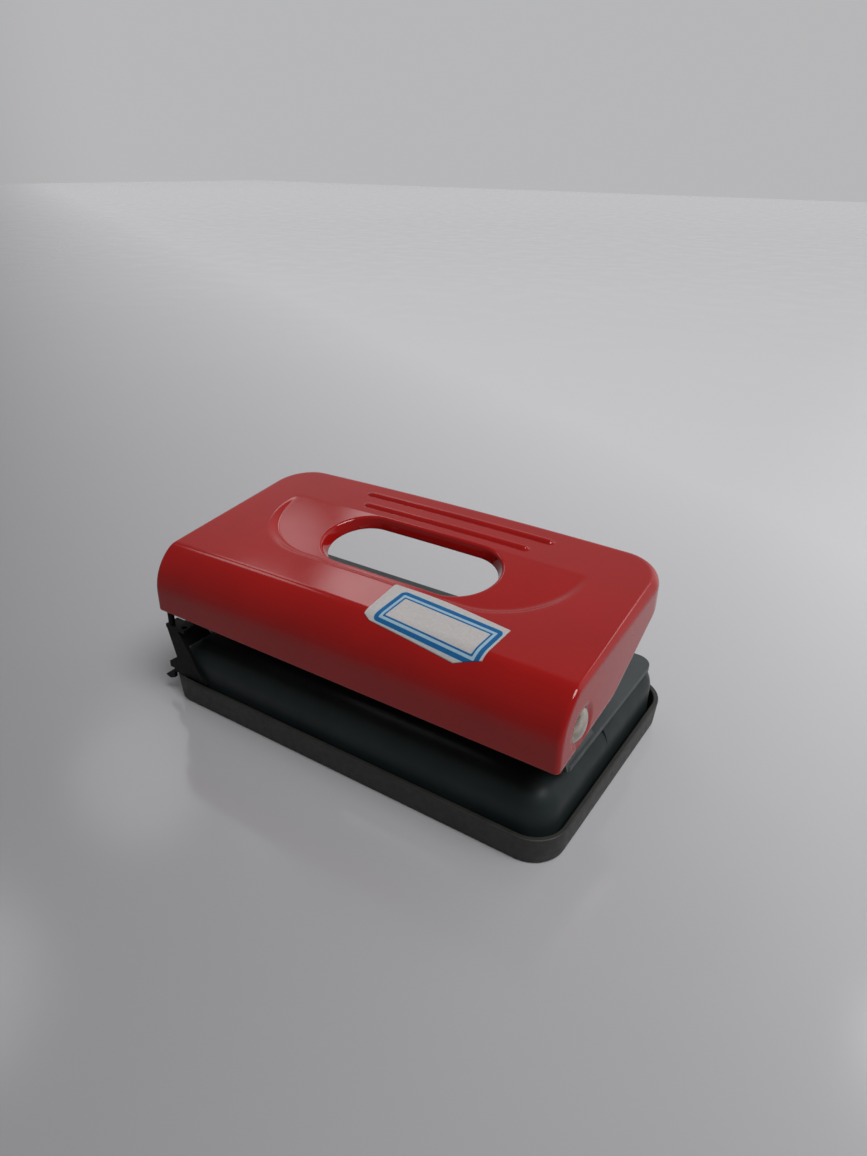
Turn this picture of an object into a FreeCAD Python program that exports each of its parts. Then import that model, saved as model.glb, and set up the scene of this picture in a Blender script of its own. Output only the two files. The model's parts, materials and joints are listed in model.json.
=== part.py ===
import FreeCAD, Part

# A two-hole desk punch: a pressed steel lever on two side rivets pushes two hollow-ground pins
# through the paper that lies between a bed and a guide frame, over a tray that catches the chips.
# Millimetres. +X runs along the length, -Y is the side where the paper goes in, +Z is up.
# The origin is the middle of the tray's underside.
import math
import os

Vector = FreeCAD.Vector
ALONG_X = Vector(1, 0, 0)
ALONG_Y = Vector(0, 1, 0)
UP = Vector(0, 0, 1)

# Chip tray: the soft bottom cover that the punch stands on. Its length is worked out below.
tray_depth = 72.0
tray_height = 7.2
tray_lean = 0.6
tray_corner = 8.0
tray_rear_corner = 10.0
tray_wall = 1.3
tray_floor = 1.5
tray_foot_round = 0.8
catch_length = 14.0
catch_height = 1.0
catch_play = 0.08
catch_place_share = 0.55

# Base plate: a drawn steel box with a low bed in front and a higher deck behind
base_sheet = 1.2
base_gap = 1.1
bed_height = 17.0
slot_height = 2.0
base_edge = 6.0
base_corner = 7.0
deck_edge = 8.0
base_rear_corner = 9.5
corner_beyond_edge = 0.5

# Guide frame: a flat plate over the deck, with an ear bent up at each end
frame_sheet = 1.4
frame_side_margin = 0.2
frame_rear_margin = 7.5
bed_front = 9.2
slot_depth = 22.5
frame_corner = 4.5
frame_nose = 1.2
ear_inset = 0.4
ear_radius = 5.4
ear_foot = 15.0
ear_fillet = 1.2

# Pins and what holds them
pin_pitch = 80.0
hole_margin = 12.0
pin_diameter = 6.0
pin_play = 0.05
pin_recess = 0.3
pin_tip_hollow = 1.2
head_diameter = 8.4
head_rim = 1.1
head_dome_radius = 6.0
head_gap = 0.3
bracket_sheet = 1.2
bracket_rise = 10.4
bracket_inside = 12.0
bracket_width = 11.0
bracket_foot = 5.4
bracket_ear_gap = 2.6
bracket_bend = 1.0
bracket_rivet = 2.5
bracket_rivet_head = 4.4
bracket_rivet_dome = 1.0
clip_thickness = 0.8
clip_diameter = 9.6
clip_groove = 4.6
clip_mouth = 3.2
clip_play = 0.1

# Springs round the pins
spring_wire = 0.9
spring_diameter = 8.2
spring_end_turns = 1.0
spring_middle_turns = 4.0
spring_end_pitch = 1.36
spring_seat = 0.02
turn_parts = 4

# Rivets that hold the frame on the deck
frame_rivet = 3.0
frame_rivet_head = 6.0
frame_rivet_dome = 1.2
frame_rivet_x_shares = (-0.8, -0.27, 0.27, 0.8)
frame_rivet_setback = 10.0

# Lever, set out from its pivot
pin_arm = 11.5
pivot_rise = 12.6
lever_sheet = 1.0
lever_ahead = 10.0
lever_behind = 48.5
skirt_drop = 6.2
bend_radius = 13.6
crease_ahead = 3.0
top_pitch = 7.8
rear_corner = 11.0
crease_round = 5.0
fold = 1.9
wall_kink_behind = 17.0
wall_kink_drop = 2.8
wall_shoulder_behind = 42.0
wall_shoulder_rise = 10.4
washer_thickness = 0.8
washer_diameter = 9.0
side_play = 0.06
dimple_depth = 0.55
dimple_diameter = 9.0
pivot_diameter = 4.0
pivot_play = 0.05
rivet_head_diameter = 7.8
rivet_head_dome = 1.2
rivet_tail_diameter = 6.6
rivet_tail_dome = 1.3

# Hand hole, the dish round it and the two ribs, set out along the lever's top from its crease.
# The dish is a floor that tilts down to the front from the line where it leaves the top.
hole_length = 52.3
hole_width = 21.9
hole_offset = 1.0
hole_setback = 24.9
hole_lip = 3.0
hole_lip_flare = 1.65
dish_end = 36.0
dish_tilt = 3.6
dish_length = 88.0
dish_width = 45.0
dish_setback = 32.9
dish_slope = 3.0
rib_width = 2.3
rib_height = 0.7
rib_root = 0.5
rib_lengths = (50.6, 57.7)
rib_offsets = (1.2, 1.8)
rib_setbacks = (39.6, 45.1)

# Price label, a blank sticker that folds over the crease
label_thickness = 0.14
label_left = 6.6
label_right = 38.5
label_left_back = 12.4
label_right_back = 8.8
label_left_ahead = 1.1
label_foot_inset = 2.0
label_foot_ahead = 2.0
label_low_inset = 6.7
label_low_ahead = 3.7
label_right_inset = 0.8
label_right_ahead = 1.8

# Paper guide: an upright at the left end on a bar that slides in a rail under the bed.
# The upright's outline is in shares of its width and height, from its lower left corner.
guide_sheet = 1.0
guide_play = 0.2
guide_rim_gap = 0.4
upright_width = 14.0
upright_height = 15.0
upright_shares = (
    (0.05, 1.0),
    (0.24, 0.35),
    (0.0, 0.19),
    (0.11, 0.05),
    (-0.19, -0.17),
    (-0.06, -0.21),
    (0.07, -0.16),
    (0.11, 0.0),
    (1.0, 0.0),
    (0.76, 0.28),
    (0.64, 0.53),
    (0.33, 1.0),
)
cap_right_share = 0.56
stop_sheet = 1.1
stop_play = 0.4
stop_rear_gap = 1.6
stop_rear_fall = 2.0
cap_depth = 4.0
cap_hole = 1.5
cap_hole_inset = 1.3
post_diameter = 1.7
post_height = 3.6
post_inset = 1.6
bar_width = 7.0
bar_thickness = 1.8
bar_setback = 3.0
bar_end_gap = 3.2
paper_half_widths = (74.0, 105.0, 148.5)
notch_width = 1.6
notch_depth = 0.6
rail_sheet = 1.2
rail_left = 6.6
rail_length = 32.0
rail_flange = 4.0
spring_leaf = 0.4
leaf_width = 4.0
leaf_foot = 3.0
leaf_run = 2.8
leaf_tail = 1.8
leaf_tail_rise = 1.4
leaf_gap = 0.1

# One overrun serves all cuts
overrun = 2.0

# Worked out from the sizes above. Along X they start at a pin and go outwards: the bracket that
# holds the pin, the frame's ear beside it, the base plate's end and the tray's end.
pin_x = pin_pitch / 2
pin_radius = pin_diameter / 2
bracket_half = bracket_inside / 2 + bracket_sheet
ear_out = pin_x + bracket_half + bracket_foot + bracket_ear_gap + frame_sheet
frame_half_x = ear_out + ear_inset
base_half_x = frame_half_x + frame_side_margin
rim_half_x = base_half_x + base_gap + tray_wall
tray_half_x = rim_half_x - tray_lean
tray_half_y = tray_depth / 2
rim_half_y = tray_half_y + tray_lean
base_half_y = rim_half_y - tray_wall - base_gap
deck_height = bed_height + slot_height
bed_under = bed_height - base_sheet
frame_top = deck_height + frame_sheet
frame_front = bed_front - base_half_y
frame_rear = base_half_y - frame_rear_margin
backstop = frame_front + slot_depth
pin_y = backstop - hole_margin
bracket_top = frame_top + bracket_rise
pivot_y = pin_y - pin_arm
pivot_z = frame_top + pivot_rise
wall_gap = washer_thickness + 2 * side_play + dimple_depth
lever_half_x = ear_out + wall_gap + lever_sheet
lever_front = pivot_y - lever_ahead
lever_rear = pivot_y + lever_behind
pitch = math.radians(top_pitch)
bend_y = lever_front + bend_radius
bend_z = pivot_z
crease_y = pivot_y - crease_ahead
crease_z = bend_z + math.sqrt(bend_radius ** 2 - (crease_y - bend_y) ** 2)
lever_top = crease_z + (lever_rear - crease_y) * math.tan(pitch)
under_pin = crease_z + (pin_y - crease_y) * math.tan(pitch) - lever_sheet / math.cos(pitch)
pin_top = under_pin - head_dome_radius * (1 / math.cos(pitch) - 1) - head_gap
head_dome = head_dome_radius - math.sqrt(head_dome_radius ** 2 - (head_diameter / 2) ** 2)
head_under = pin_top - head_dome - head_rim
pin_tip = deck_height + pin_recess
clip_top = bracket_top - bracket_sheet - clip_play
guide_left = -base_half_x - guide_play - guide_sheet
guide_front = -base_half_y - guide_play - guide_sheet
guide_bottom = tray_height + guide_rim_gap
guide_top = guide_bottom + upright_height
arm_bottom = guide_bottom + guide_sheet
bar_bottom = arm_bottom
bar_top = bar_bottom + bar_thickness
bar_front = bar_setback - base_half_y
bar_rear = bar_front + bar_width
bar_right = base_half_x - bar_end_gap
rail_start = rail_left - base_half_x
leaf_nose = rail_start + leaf_foot + leaf_run
lean_top = upright_shares[-1]
lean_low = upright_shares[-2]
lean_share = (lean_low[0] - lean_top[0]) / (lean_top[1] - lean_low[1])
stop_lean = lean_share * upright_width / upright_height
stop_low = bed_height + stop_play
stop_top_x = guide_left + lean_top[0] * upright_width
stop_low_x = stop_top_x + (guide_top - stop_low) * stop_lean


def box(low, high):
    """A block between two opposite corners."""
    size = Vector(*high) - Vector(*low)
    return Part.makeBox(size.x, size.y, size.z, Vector(*low))


def cylinder(radius, height, place, direction=UP):
    return Part.makeCylinder(radius, height, Vector(*place), direction)


def polygon_face(points):
    wire = Part.makePolygon([Vector(*point) for point in points + points[:1]])
    return Part.Face(wire)


def prism_along_x(outline, x_low, x_high):
    """A straight prism from a closed outline of (y, z) points."""
    face = polygon_face([(x_low, y, z) for y, z in outline])
    return face.extrude(Vector(x_high - x_low, 0, 0))


def rounded_outline(half_x, y_front, y_rear, front_radius, rear_radius, z):
    """A closed wire round a rectangle whose front and rear corners have their own radii."""
    corners = [
        (half_x, y_front, front_radius, -math.pi / 2, Vector(-1, 1, 0)),
        (half_x, y_rear, rear_radius, 0.0, Vector(-1, -1, 0)),
        (-half_x, y_rear, rear_radius, math.pi / 2, Vector(1, -1, 0)),
        (-half_x, y_front, front_radius, math.pi, Vector(1, 1, 0)),
    ]
    edges = []
    first = None
    last = None
    for x, y, radius, start, inward in corners:
        centre = Vector(x, y, z) + inward * radius
        points = []
        for share in (0.0, 0.5, 1.0):
            angle = start + share * math.pi / 2
            points.append(centre + Vector(math.cos(angle), math.sin(angle), 0) * radius)
        if last is not None:
            edges.append(Part.LineSegment(last, points[0]).toShape())
        edges.append(Part.Arc(*points).toShape())
        first = first or points[0]
        last = points[2]
    edges.append(Part.LineSegment(last, first).toShape())
    return Part.Wire(edges)


def rounded_block(half_x, y_front, y_rear, front_radius, rear_radius, z_low, z_high):
    wire = rounded_outline(half_x, y_front, y_rear, front_radius, rear_radius, z_low)
    return Part.Face(wire).extrude(Vector(0, 0, z_high - z_low))


def round_top(solid, z_top, radius):
    """Rounds every edge of a block's top face."""
    near = radius / 100
    edges = [edge for edge in solid.Edges if min(v.Z for v in edge.Vertexes) > z_top - near]
    return solid.makeFillet(radius, edges)


def stadium(length, width, z_low, z_high, x_middle=0.0, y_middle=0.0):
    """A prism with straight sides along X and half-round ends."""
    radius = width / 2
    reach = length / 2 - radius
    middle = Vector(x_middle, y_middle, z_low)
    right = middle + Vector(reach, 0, 0)
    left = middle - Vector(reach, 0, 0)
    up = Vector(0, radius, 0)
    edges = [
        Part.LineSegment(left - up, right - up).toShape(),
        Part.Arc(right - up, right + Vector(radius, 0, 0), right + up).toShape(),
        Part.LineSegment(right + up, left + up).toShape(),
        Part.Arc(left + up, left - Vector(radius, 0, 0), left - up).toShape(),
    ]
    return Part.Wire(edges), Vector(0, 0, z_high - z_low)


def stadium_block(length, width, z_low, z_high, x_middle=0.0, y_middle=0.0):
    wire, rise = stadium(length, width, z_low, z_high, x_middle, y_middle)
    return Part.Face(wire).extrude(rise)


def stadium_taper(length, width, spread, z_low, z_high, x_middle, y_middle):
    """A stadium that is wider by spread all round at its top than at its bottom."""
    low, rise = stadium(length, width, z_low, z_high, x_middle, y_middle)
    high, rise = stadium(length + 2 * spread, width + 2 * spread, z_high, z_high, x_middle, y_middle)
    return Part.makeLoft([low, high], True, True)


def fused(solids):
    whole = solids[0].multiFuse(solids[1:]) if len(solids) > 1 else solids[0]
    return whole.removeSplitter()


def dome_cap(radius, height, place, direction=UP):
    """A shallow spherical cap that stands on a flat round face."""
    sphere_radius = (radius ** 2 + height ** 2) / (2 * height)
    middle = Vector(*place) + direction * (height - sphere_radius)
    rim_angle = math.degrees(math.acos(radius / sphere_radius))
    return Part.makeSphere(sphere_radius, middle, direction, rim_angle, 90.0, 360.0)


def save(shape, name):
    """Writes one part, as a single solid or as a group of separate solids."""
    solids = shape.Solids
    if not solids or not shape.isValid():
        raise RuntimeError(name + " is not a sound solid")
    whole = solids[0] if len(solids) == 1 else Part.makeCompound(solids)
    whole.exportStep(os.path.join("parts", name + ".step"))
    print(name, len(solids), "solid(s)", round(sum(s.Volume for s in solids), 1), "mm3")


def chip_tray():
    """A low leaning wall round a flat floor, with small catches that grip the base plate."""

    def outline(z, inset):
        lean = tray_lean * z / tray_height - inset
        half_x = tray_half_x + lean
        half_y = tray_half_y + lean
        return rounded_outline(half_x, -half_y, half_y, tray_corner + lean, tray_rear_corner + lean, z)

    outer = Part.makeLoft([outline(0.0, 0.0), outline(tray_height, 0.0)], True, True)
    foot = [edge for edge in outer.Edges if max(v.Z for v in edge.Vertexes) < tray_foot_round]
    outer = outer.makeFillet(tray_foot_round, foot)
    inner_wires = [outline(tray_floor, tray_wall), outline(tray_height + overrun, tray_wall)]
    tray = outer.cut(Part.makeLoft(inner_wires, True, True))
    catches = []
    low = tray_height - 2 * catch_height
    for side in (-1, 1):
        for x_share in (-catch_place_share, catch_place_share):
            x_middle = x_share * base_half_x
            wall = side * (base_half_y + catch_play)
            rim = side * (rim_half_y - tray_wall / 2)
            corner_low = (x_middle - catch_length / 2, min(wall, rim), low)
            corner_high = (x_middle + catch_length / 2, max(wall, rim), low + catch_height)
            catches.append(box(corner_low, corner_high))
    return fused([tray] + catches)


def base_shell(inset, z_low):
    """The base plate's outside for no inset, or its inside for an inset of one sheet."""
    half_x = base_half_x - inset
    half_y = base_half_y - inset
    corners = (base_corner - inset, base_rear_corner - inset)
    levels = []
    for top, edge in ((bed_height - inset, base_edge - inset), (deck_height - inset, deck_edge - inset)):
        high_corners = [max(corner, edge + corner_beyond_edge) for corner in corners]
        block = rounded_block(half_x, -half_y, half_y, *high_corners, z_low, top)
        levels.append(round_top(block, top, edge))
    bed, deck = levels
    step = backstop + inset
    behind = box((-rim_half_x, step, z_low - overrun), (rim_half_x, rim_half_y, frame_top))
    return bed.cut(behind).fuse(deck.common(behind)).removeSplitter()


def frame_rivet_places():
    return [(share * frame_half_x, backstop + frame_rivet_setback) for share in frame_rivet_x_shares]


def base_plate():
    outer = base_shell(0.0, tray_floor)
    plate = outer.cut(base_shell(base_sheet, tray_floor - overrun))
    for side in (-1, 1):
        hole = (side * pin_x, pin_y, bed_under - overrun)
        plate = plate.cut(cylinder(pin_radius + pin_play, 2 * overrun + base_sheet, hole))
    for x, y in frame_rivet_places():
        plate = plate.cut(cylinder(frame_rivet / 2, 2 * overrun + base_sheet, (x, y, bed_height - overrun)))
    slot_low = (-base_half_x - overrun, bar_front - guide_play, bar_bottom - guide_play)
    slot_high = (-base_half_x + base_corner, bar_rear + guide_play, bar_top + guide_play)
    return plate.cut(box(slot_low, slot_high)).removeSplitter()


def guide_rail():
    """A bent channel under the bed in which the guide's bar slides."""
    leg_rear = bar_rear + guide_play + rail_sheet
    foot_top = bar_bottom - guide_play
    foot_bottom = foot_top - rail_sheet
    lip_front = bar_front - guide_play - rail_sheet
    flange_under = bed_under - rail_sheet
    x_range = (rail_start, rail_start + rail_length)
    outline = [
        (leg_rear - rail_sheet - rail_flange, bed_under),
        (leg_rear - rail_sheet - rail_flange, flange_under),
        (leg_rear - rail_sheet, flange_under),
        (leg_rear - rail_sheet, foot_top),
        (lip_front + rail_sheet, foot_top),
        (lip_front + rail_sheet, bar_top),
        (lip_front, bar_top),
        (lip_front, foot_bottom),
        (leg_rear, foot_bottom),
        (leg_rear, bed_under),
    ]
    return prism_along_x(outline, *x_range)


def guide_spring():
    """A leaf under the rail's flange whose nose presses on the bar and drops into its notches."""
    flange_under = bed_under - rail_sheet
    nose = bar_top + leaf_gap
    start = rail_start + leaf_gap
    path = [
        (start, flange_under - spring_leaf / 2),
        (start + leaf_foot, flange_under - spring_leaf / 2),
        (leaf_nose, nose + spring_leaf / 2),
        (leaf_nose + leaf_tail, nose + spring_leaf / 2 + leaf_tail_rise),
    ]
    upper = []
    lower = []
    for index, point in enumerate(path):
        before = Vector(*path[max(index - 1, 0)], 0)
        here = Vector(*point, 0)
        after = Vector(*path[min(index + 1, len(path) - 1)], 0)
        legs = [leg / leg.Length for leg in (here - before, after - here) if leg.Length > 0]
        along = sum(legs[1:], legs[0])
        along = along / along.Length
        normal = Vector(-along.y, along.x, 0) * (spring_leaf / 2)
        upper.append(here + normal)
        lower.append(here - normal)
    middle = (bar_front + bar_rear) / 2
    corners = [(p.x, middle - leaf_width / 2, p.y) for p in upper + lower[::-1]]
    return polygon_face(corners).extrude(ALONG_Y * leaf_width)


def frame_ear(side):
    """An upright ear with a rounded head round the pivot, on a wider foot."""
    foot_rear = frame_front + ear_foot
    sketch = [
        (frame_front, deck_height),
        (foot_rear, deck_height),
        (pivot_y + ear_radius, pivot_z),
        (pivot_y - ear_radius, pivot_z),
    ]
    x_edges = sorted((side * ear_out, side * (ear_out - frame_sheet)))
    body = prism_along_x(sketch, *x_edges)
    head = cylinder(ear_radius, frame_sheet, (x_edges[0], pivot_y, pivot_z), ALONG_X)
    return body.fuse(head)


def guide_frame():
    """The plate that guides the pins above the paper and carries the lever's pivots."""
    corners = (frame_nose, frame_corner)
    plate = rounded_block(frame_half_x, frame_front, frame_rear, *corners, deck_height, frame_top)
    frame = fused([plate, frame_ear(-1), frame_ear(1)])
    for side in (-1, 1):
        hole = (side * pin_x, pin_y, deck_height - overrun)
        frame = frame.cut(cylinder(pin_radius + pin_play, 2 * overrun + frame_sheet, hole))
        for foot_side in (-1, 1):
            x = side * pin_x + foot_side * (bracket_half + bracket_foot / 2)
            place = (x, pin_y, deck_height - overrun)
            frame = frame.cut(cylinder(bracket_rivet / 2, 2 * overrun + frame_sheet, place))
    for x, y in frame_rivet_places():
        place = (x, y, deck_height - overrun)
        frame = frame.cut(cylinder(frame_rivet / 2, 2 * overrun + frame_sheet, place))
    bore_length = 2 * (frame_half_x + overrun)
    bore = cylinder(pivot_diameter / 2, bore_length, (-bore_length / 2, pivot_y, pivot_z), ALONG_X)
    return frame.cut(bore)


def round_bends(block, z_top, radius):
    """Rounds the two top edges of a block that run from front to rear."""
    near = radius / 100
    bends = []
    for edge in block.Edges:
        at_top = min(v.Z for v in edge.Vertexes) > z_top - near
        runs_back = abs(edge.Vertexes[0].X - edge.Vertexes[1].X) < near
        if at_top and runs_back:
            bends.append(edge)
    return block.makeFillet(radius, bends)


def pin_bracket(side):
    """A bent strip over each pin whose top guides the pin and carries its spring."""
    x = side * pin_x
    y_low = pin_y - bracket_width / 2
    y_high = pin_y + bracket_width / 2
    reach = bracket_half + bracket_foot
    strip = box((x - reach, y_low, frame_top), (x + reach, y_high, frame_top + bracket_sheet))
    tower = box((x - bracket_half, y_low, frame_top), (x + bracket_half, y_high, bracket_top))
    tower = round_bends(tower, bracket_top, bracket_bend + bracket_sheet)
    half = bracket_inside / 2
    room_top = bracket_top - bracket_sheet
    room = box((x - half, y_low - overrun, frame_top - overrun), (x + half, y_high + overrun, room_top))
    room = round_bends(room, room_top, bracket_bend)
    bracket = strip.fuse(tower).cut(room)
    bore = cylinder(pin_radius + pin_play, bracket_rise, (x, pin_y, frame_top + bracket_sheet))
    bracket = bracket.cut(bore)
    for foot_side in (-1, 1):
        foot = x + foot_side * (bracket_half + bracket_foot / 2)
        place = (foot, pin_y, frame_top - overrun)
        bracket = bracket.cut(cylinder(bracket_rivet / 2, 2 * overrun + bracket_sheet, place))
    return bracket.removeSplitter()


def bracket_rivets():
    """Four rivets, flush below so that the paper passes under them."""
    rivets = []
    seat = frame_top + bracket_sheet
    for side in (-1, 1):
        for foot_side in (-1, 1):
            x = side * pin_x + foot_side * (bracket_half + bracket_foot / 2)
            shank = cylinder(bracket_rivet / 2, seat - deck_height, (x, pin_y, deck_height))
            head = dome_cap(bracket_rivet_head / 2, bracket_rivet_dome, (x, pin_y, seat))
            rivets.append(shank.fuse(head).removeSplitter())
    return Part.makeCompound(rivets)


def frame_rivets():
    """Four rivets through the frame and the deck, domed above and below."""
    rivets = []
    deck_under = deck_height - base_sheet
    for x, y in frame_rivet_places():
        shank = cylinder(frame_rivet / 2, frame_top - deck_under, (x, y, deck_under))
        head = dome_cap(frame_rivet_head / 2, frame_rivet_dome, (x, y, frame_top))
        tail = dome_cap(frame_rivet_head / 2, frame_rivet_dome, (x, y, deck_under), -UP)
        rivets.append(fused([shank, head, tail]))
    return Part.makeCompound(rivets)


def punch_pin(side):
    """A hardened pin with a domed head, a groove for its clip and a hollow cutting end."""
    x = side * pin_x
    shank = cylinder(pin_radius, head_under - pin_tip, (x, pin_y, pin_tip))
    groove_low = clip_top - clip_thickness
    collar = cylinder(pin_diameter, clip_thickness, (x, pin_y, groove_low))
    collar = collar.cut(cylinder(clip_groove / 2, clip_thickness, (x, pin_y, groove_low)))
    shank = shank.cut(collar)
    hollow_radius = (pin_radius ** 2 + pin_tip_hollow ** 2) / (2 * pin_tip_hollow)
    start = (x - pin_diameter, pin_y, pin_tip + pin_tip_hollow - hollow_radius)
    shank = shank.cut(cylinder(hollow_radius, 2 * pin_diameter, start, ALONG_X))
    rim = cylinder(head_diameter / 2, head_rim, (x, pin_y, head_under))
    dome = dome_cap(head_diameter / 2, head_dome, (x, pin_y, head_under + head_rim))
    return fused([shank, rim, dome])


def pin_clip(side):
    """An open ring that snaps into the pin's groove and stops it under the bracket."""
    x = side * pin_x
    place = (x, pin_y, clip_top - clip_thickness)
    ring = cylinder(clip_diameter / 2, clip_thickness, place)
    ring = ring.cut(cylinder(clip_groove / 2, clip_thickness, place))
    half = clip_mouth / 2
    low = (x - half, pin_y, place[2] - overrun)
    return ring.cut(box(low, (x + half, pin_y + clip_diameter, clip_top + overrun)))


def arc_between(start, along, end):
    """The round arc that leaves start along a direction and reaches end."""
    chord = end - start
    unit = chord / chord.Length
    half_turn = along.getAngle(chord)
    side = along - unit * along.dot(unit)
    side = side / side.Length
    middle = (start + end) / 2 + side * (chord.Length / 2 * math.tan(half_turn / 2))
    return Part.Arc(start, middle, end).toShape()


def middle_of(edge):
    """The point halfway along an edge."""
    return edge.valueAt((edge.FirstParameter + edge.LastParameter) / 2)


def biarc(start, along, end, onward):
    """Two arcs that join smoothly between two points with given directions."""
    span = end - start
    both = along + onward
    bend = 2 * (1 - along.dot(onward))
    reach = (math.sqrt(span.dot(both) ** 2 + bend * span.dot(span)) - span.dot(both)) / bend
    knee = (start + along * reach + end - onward * reach) / 2
    first = arc_between(start, along, knee)
    second = arc_between(end, -onward, knee)
    return [first, Part.Arc(knee, middle_of(second), end).toShape()]


def spring_heights():
    """The wire's height at each quarter turn: close turns at both ends, open ones between."""
    low = bracket_top + spring_wire / 2 + spring_seat
    high = head_under - spring_wire / 2 - spring_seat
    middle_rise = high - low - 2 * spring_end_turns * spring_end_pitch
    heights = [low]
    for turns, rise in (
        (spring_end_turns, spring_end_turns * spring_end_pitch),
        (spring_middle_turns, middle_rise),
        (spring_end_turns, spring_end_turns * spring_end_pitch),
    ):
        steps = round(turns * turn_parts)
        heights += [heights[-1] + rise * (step + 1) / steps for step in range(steps)]
    return heights


def pin_spring(side):
    """One unbroken wire wound round the pin, from the bracket up to the pin's head."""
    radius = spring_diameter / 2
    heights = spring_heights()
    step = 2 * math.pi / turn_parts
    points = []
    for index, height in enumerate(heights):
        angle = index * step
        x = side * pin_x + radius * math.cos(angle)
        points.append(Vector(x, pin_y + radius * math.sin(angle), height))
    slopes = []
    for index in range(len(heights)):
        before = heights[max(index - 1, 0)]
        after = heights[min(index + 1, len(heights) - 1)]
        count = min(index + 1, len(heights) - 1) - max(index - 1, 0)
        angle = index * step
        slope = Vector(-radius * math.sin(angle), radius * math.cos(angle), (after - before) / count / step)
        slopes.append(slope / slope.Length)
    edges = []
    for index in range(len(points) - 1):
        edges += biarc(points[index], slopes[index], points[index + 1], slopes[index + 1])
    path = Part.Wire(edges)
    ring = Part.Wire([Part.makeCircle(spring_wire / 2, points[0], slopes[0])])
    shell = Part.BRepOffsetAPI.MakePipeShell(path)
    shell.add(ring)
    shell.build()
    shell.makeSolid()
    report_spring_gap(path)
    return shell.shape()


def report_spring_gap(path):
    """Prints the least gap between the wire's turns, measured on points along its middle."""
    count = 60 * len(path.Edges) // 8
    points = path.discretize(Number=count)
    lap = path.Length / count
    skip = math.ceil(math.pi * spring_diameter / 2 / lap)
    least = min(
        (points[i] - points[j]).Length
        for i in range(len(points))
        for j in range(i + skip, len(points))
    )
    print("spring: least gap between turns", round(least - spring_wire, 3), "mm")


def lever_profile(inset, x_low, x_high, z_low):
    """The space under the lever's skin, moved in by inset: front skirt, bend, pitched top, rear."""
    radius = bend_radius - inset
    front = lever_front + inset
    along = Vector(0, math.cos(pitch), math.sin(pitch))
    inward = Vector(0, math.sin(pitch), -math.cos(pitch))
    centre = Vector(x_low, bend_y, bend_z)
    start = Vector(x_low, crease_y, crease_z) + inward * inset
    lead = (start - centre).dot(along)
    rest = (start - centre).dot(start - centre) - radius ** 2
    crease = start + along * (-lead - math.sqrt(lead ** 2 - rest))
    angle = math.atan2(crease.z - bend_z, crease.y - bend_y)
    middle = (angle + math.pi) / 2
    rear = lever_rear - inset
    top = Vector(x_low, rear, crease.z + (rear - crease.y) * math.tan(pitch))
    skirt = Vector(x_low, front, bend_z)
    arc_middle = centre + Vector(0, math.cos(middle), math.sin(middle)) * radius
    low_front = Vector(x_low, front, z_low)
    low_rear = Vector(x_low, rear, z_low)
    edges = [
        Part.LineSegment(low_front, skirt).toShape(),
        Part.Arc(skirt, arc_middle, crease).toShape(),
        Part.LineSegment(crease, top).toShape(),
        Part.LineSegment(top, low_rear).toShape(),
        Part.LineSegment(low_rear, low_front).toShape(),
    ]
    block = Part.Face(Part.Wire(edges)).extrude(Vector(x_high - x_low, 0, 0))
    near = lever_sheet / 10
    fold_line = []
    for edge in block.Edges:
        offs = [abs(v.Y - crease.y) + abs(v.Z - crease.z) for v in edge.Vertexes]
        if max(offs) < near:
            fold_line.append(edge)
    return block.makeFillet(crease_round - inset, fold_line)


def lever_block(inset, z_low):
    """The whole lever's outside or inside, with all its folds and rear corners rounded."""
    half_x = lever_half_x - inset
    block = lever_profile(inset, -half_x, half_x, z_low)
    rear = lever_rear - inset
    near = lever_sheet / 10
    upright = [
        edge
        for edge in block.Edges
        if all(abs(v.Y - rear) < near for v in edge.Vertexes)
        and abs(edge.Vertexes[0].X - edge.Vertexes[-1].X) < near
    ]
    block = block.makeFillet(rear_corner - inset, upright)
    rim = []
    for edge in block.Edges:
        start = edge.Vertexes[0].Point
        end = edge.Vertexes[-1].Point
        middle = middle_of(edge)
        at_side = abs(abs(middle.x) - half_x) < near
        at_rear = middle.y > rear - rear_corner and middle.z > bend_z
        stands = math.hypot(start.x - end.x, start.y - end.y) < near
        behind = start.y > lever_front + rear_corner
        low = middle.z < z_low + near
        if (at_side or at_rear) and not low and not (stands and behind):
            rim.append(edge)
    return block.makeFillet(fold - inset, rim)


def on_lever_top(shape):
    """Moves a shape from a flat sheet, with Y counted from the crease, onto the pitched top."""
    turned = shape.copy()
    turned.rotate(Vector(0, 0, 0), ALONG_X, top_pitch)
    turned.translate(Vector(0, crease_y, crease_z))
    return turned


def on_dish(shape):
    """Moves a shape from a flat sheet onto the dish's floor, which tilts about the line at its end."""
    turned = shape.copy()
    turned.rotate(Vector(0, dish_end, 0), ALONG_X, dish_tilt)
    return on_lever_top(turned)


def dish_tool(inset):
    """What is taken away for the dish: less wide at the bottom than at the top."""
    tilt = math.tan(math.radians(dish_tilt))
    rise = dish_end * tilt
    length = dish_length - 2 * dish_slope + 2 * inset
    width = dish_width - 2 * dish_slope + 2 * inset
    depth = (dish_end - dish_setback + dish_width / 2) * tilt
    spread = dish_slope * rise / depth
    return on_dish(stadium_taper(length, width, spread, -inset, rise - inset, 0.0, dish_setback))


def lever_skin(inset):
    """One side of the lever's sheet as a solid, with its rounded corners, dish and dimples."""
    skin = lever_block(inset, frame_top - 2 * overrun).cut(dish_tool(inset))
    for side in (-1, 1):
        depth = dimple_depth + overrun
        wall = side * (lever_half_x - inset)
        x = min(wall - side * dimple_depth, wall + side * overrun)
        place = (x, pivot_y, pivot_z)
        skin = skin.cut(cylinder(dimple_diameter / 2 + inset, depth, place, ALONG_X))
    return skin


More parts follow.
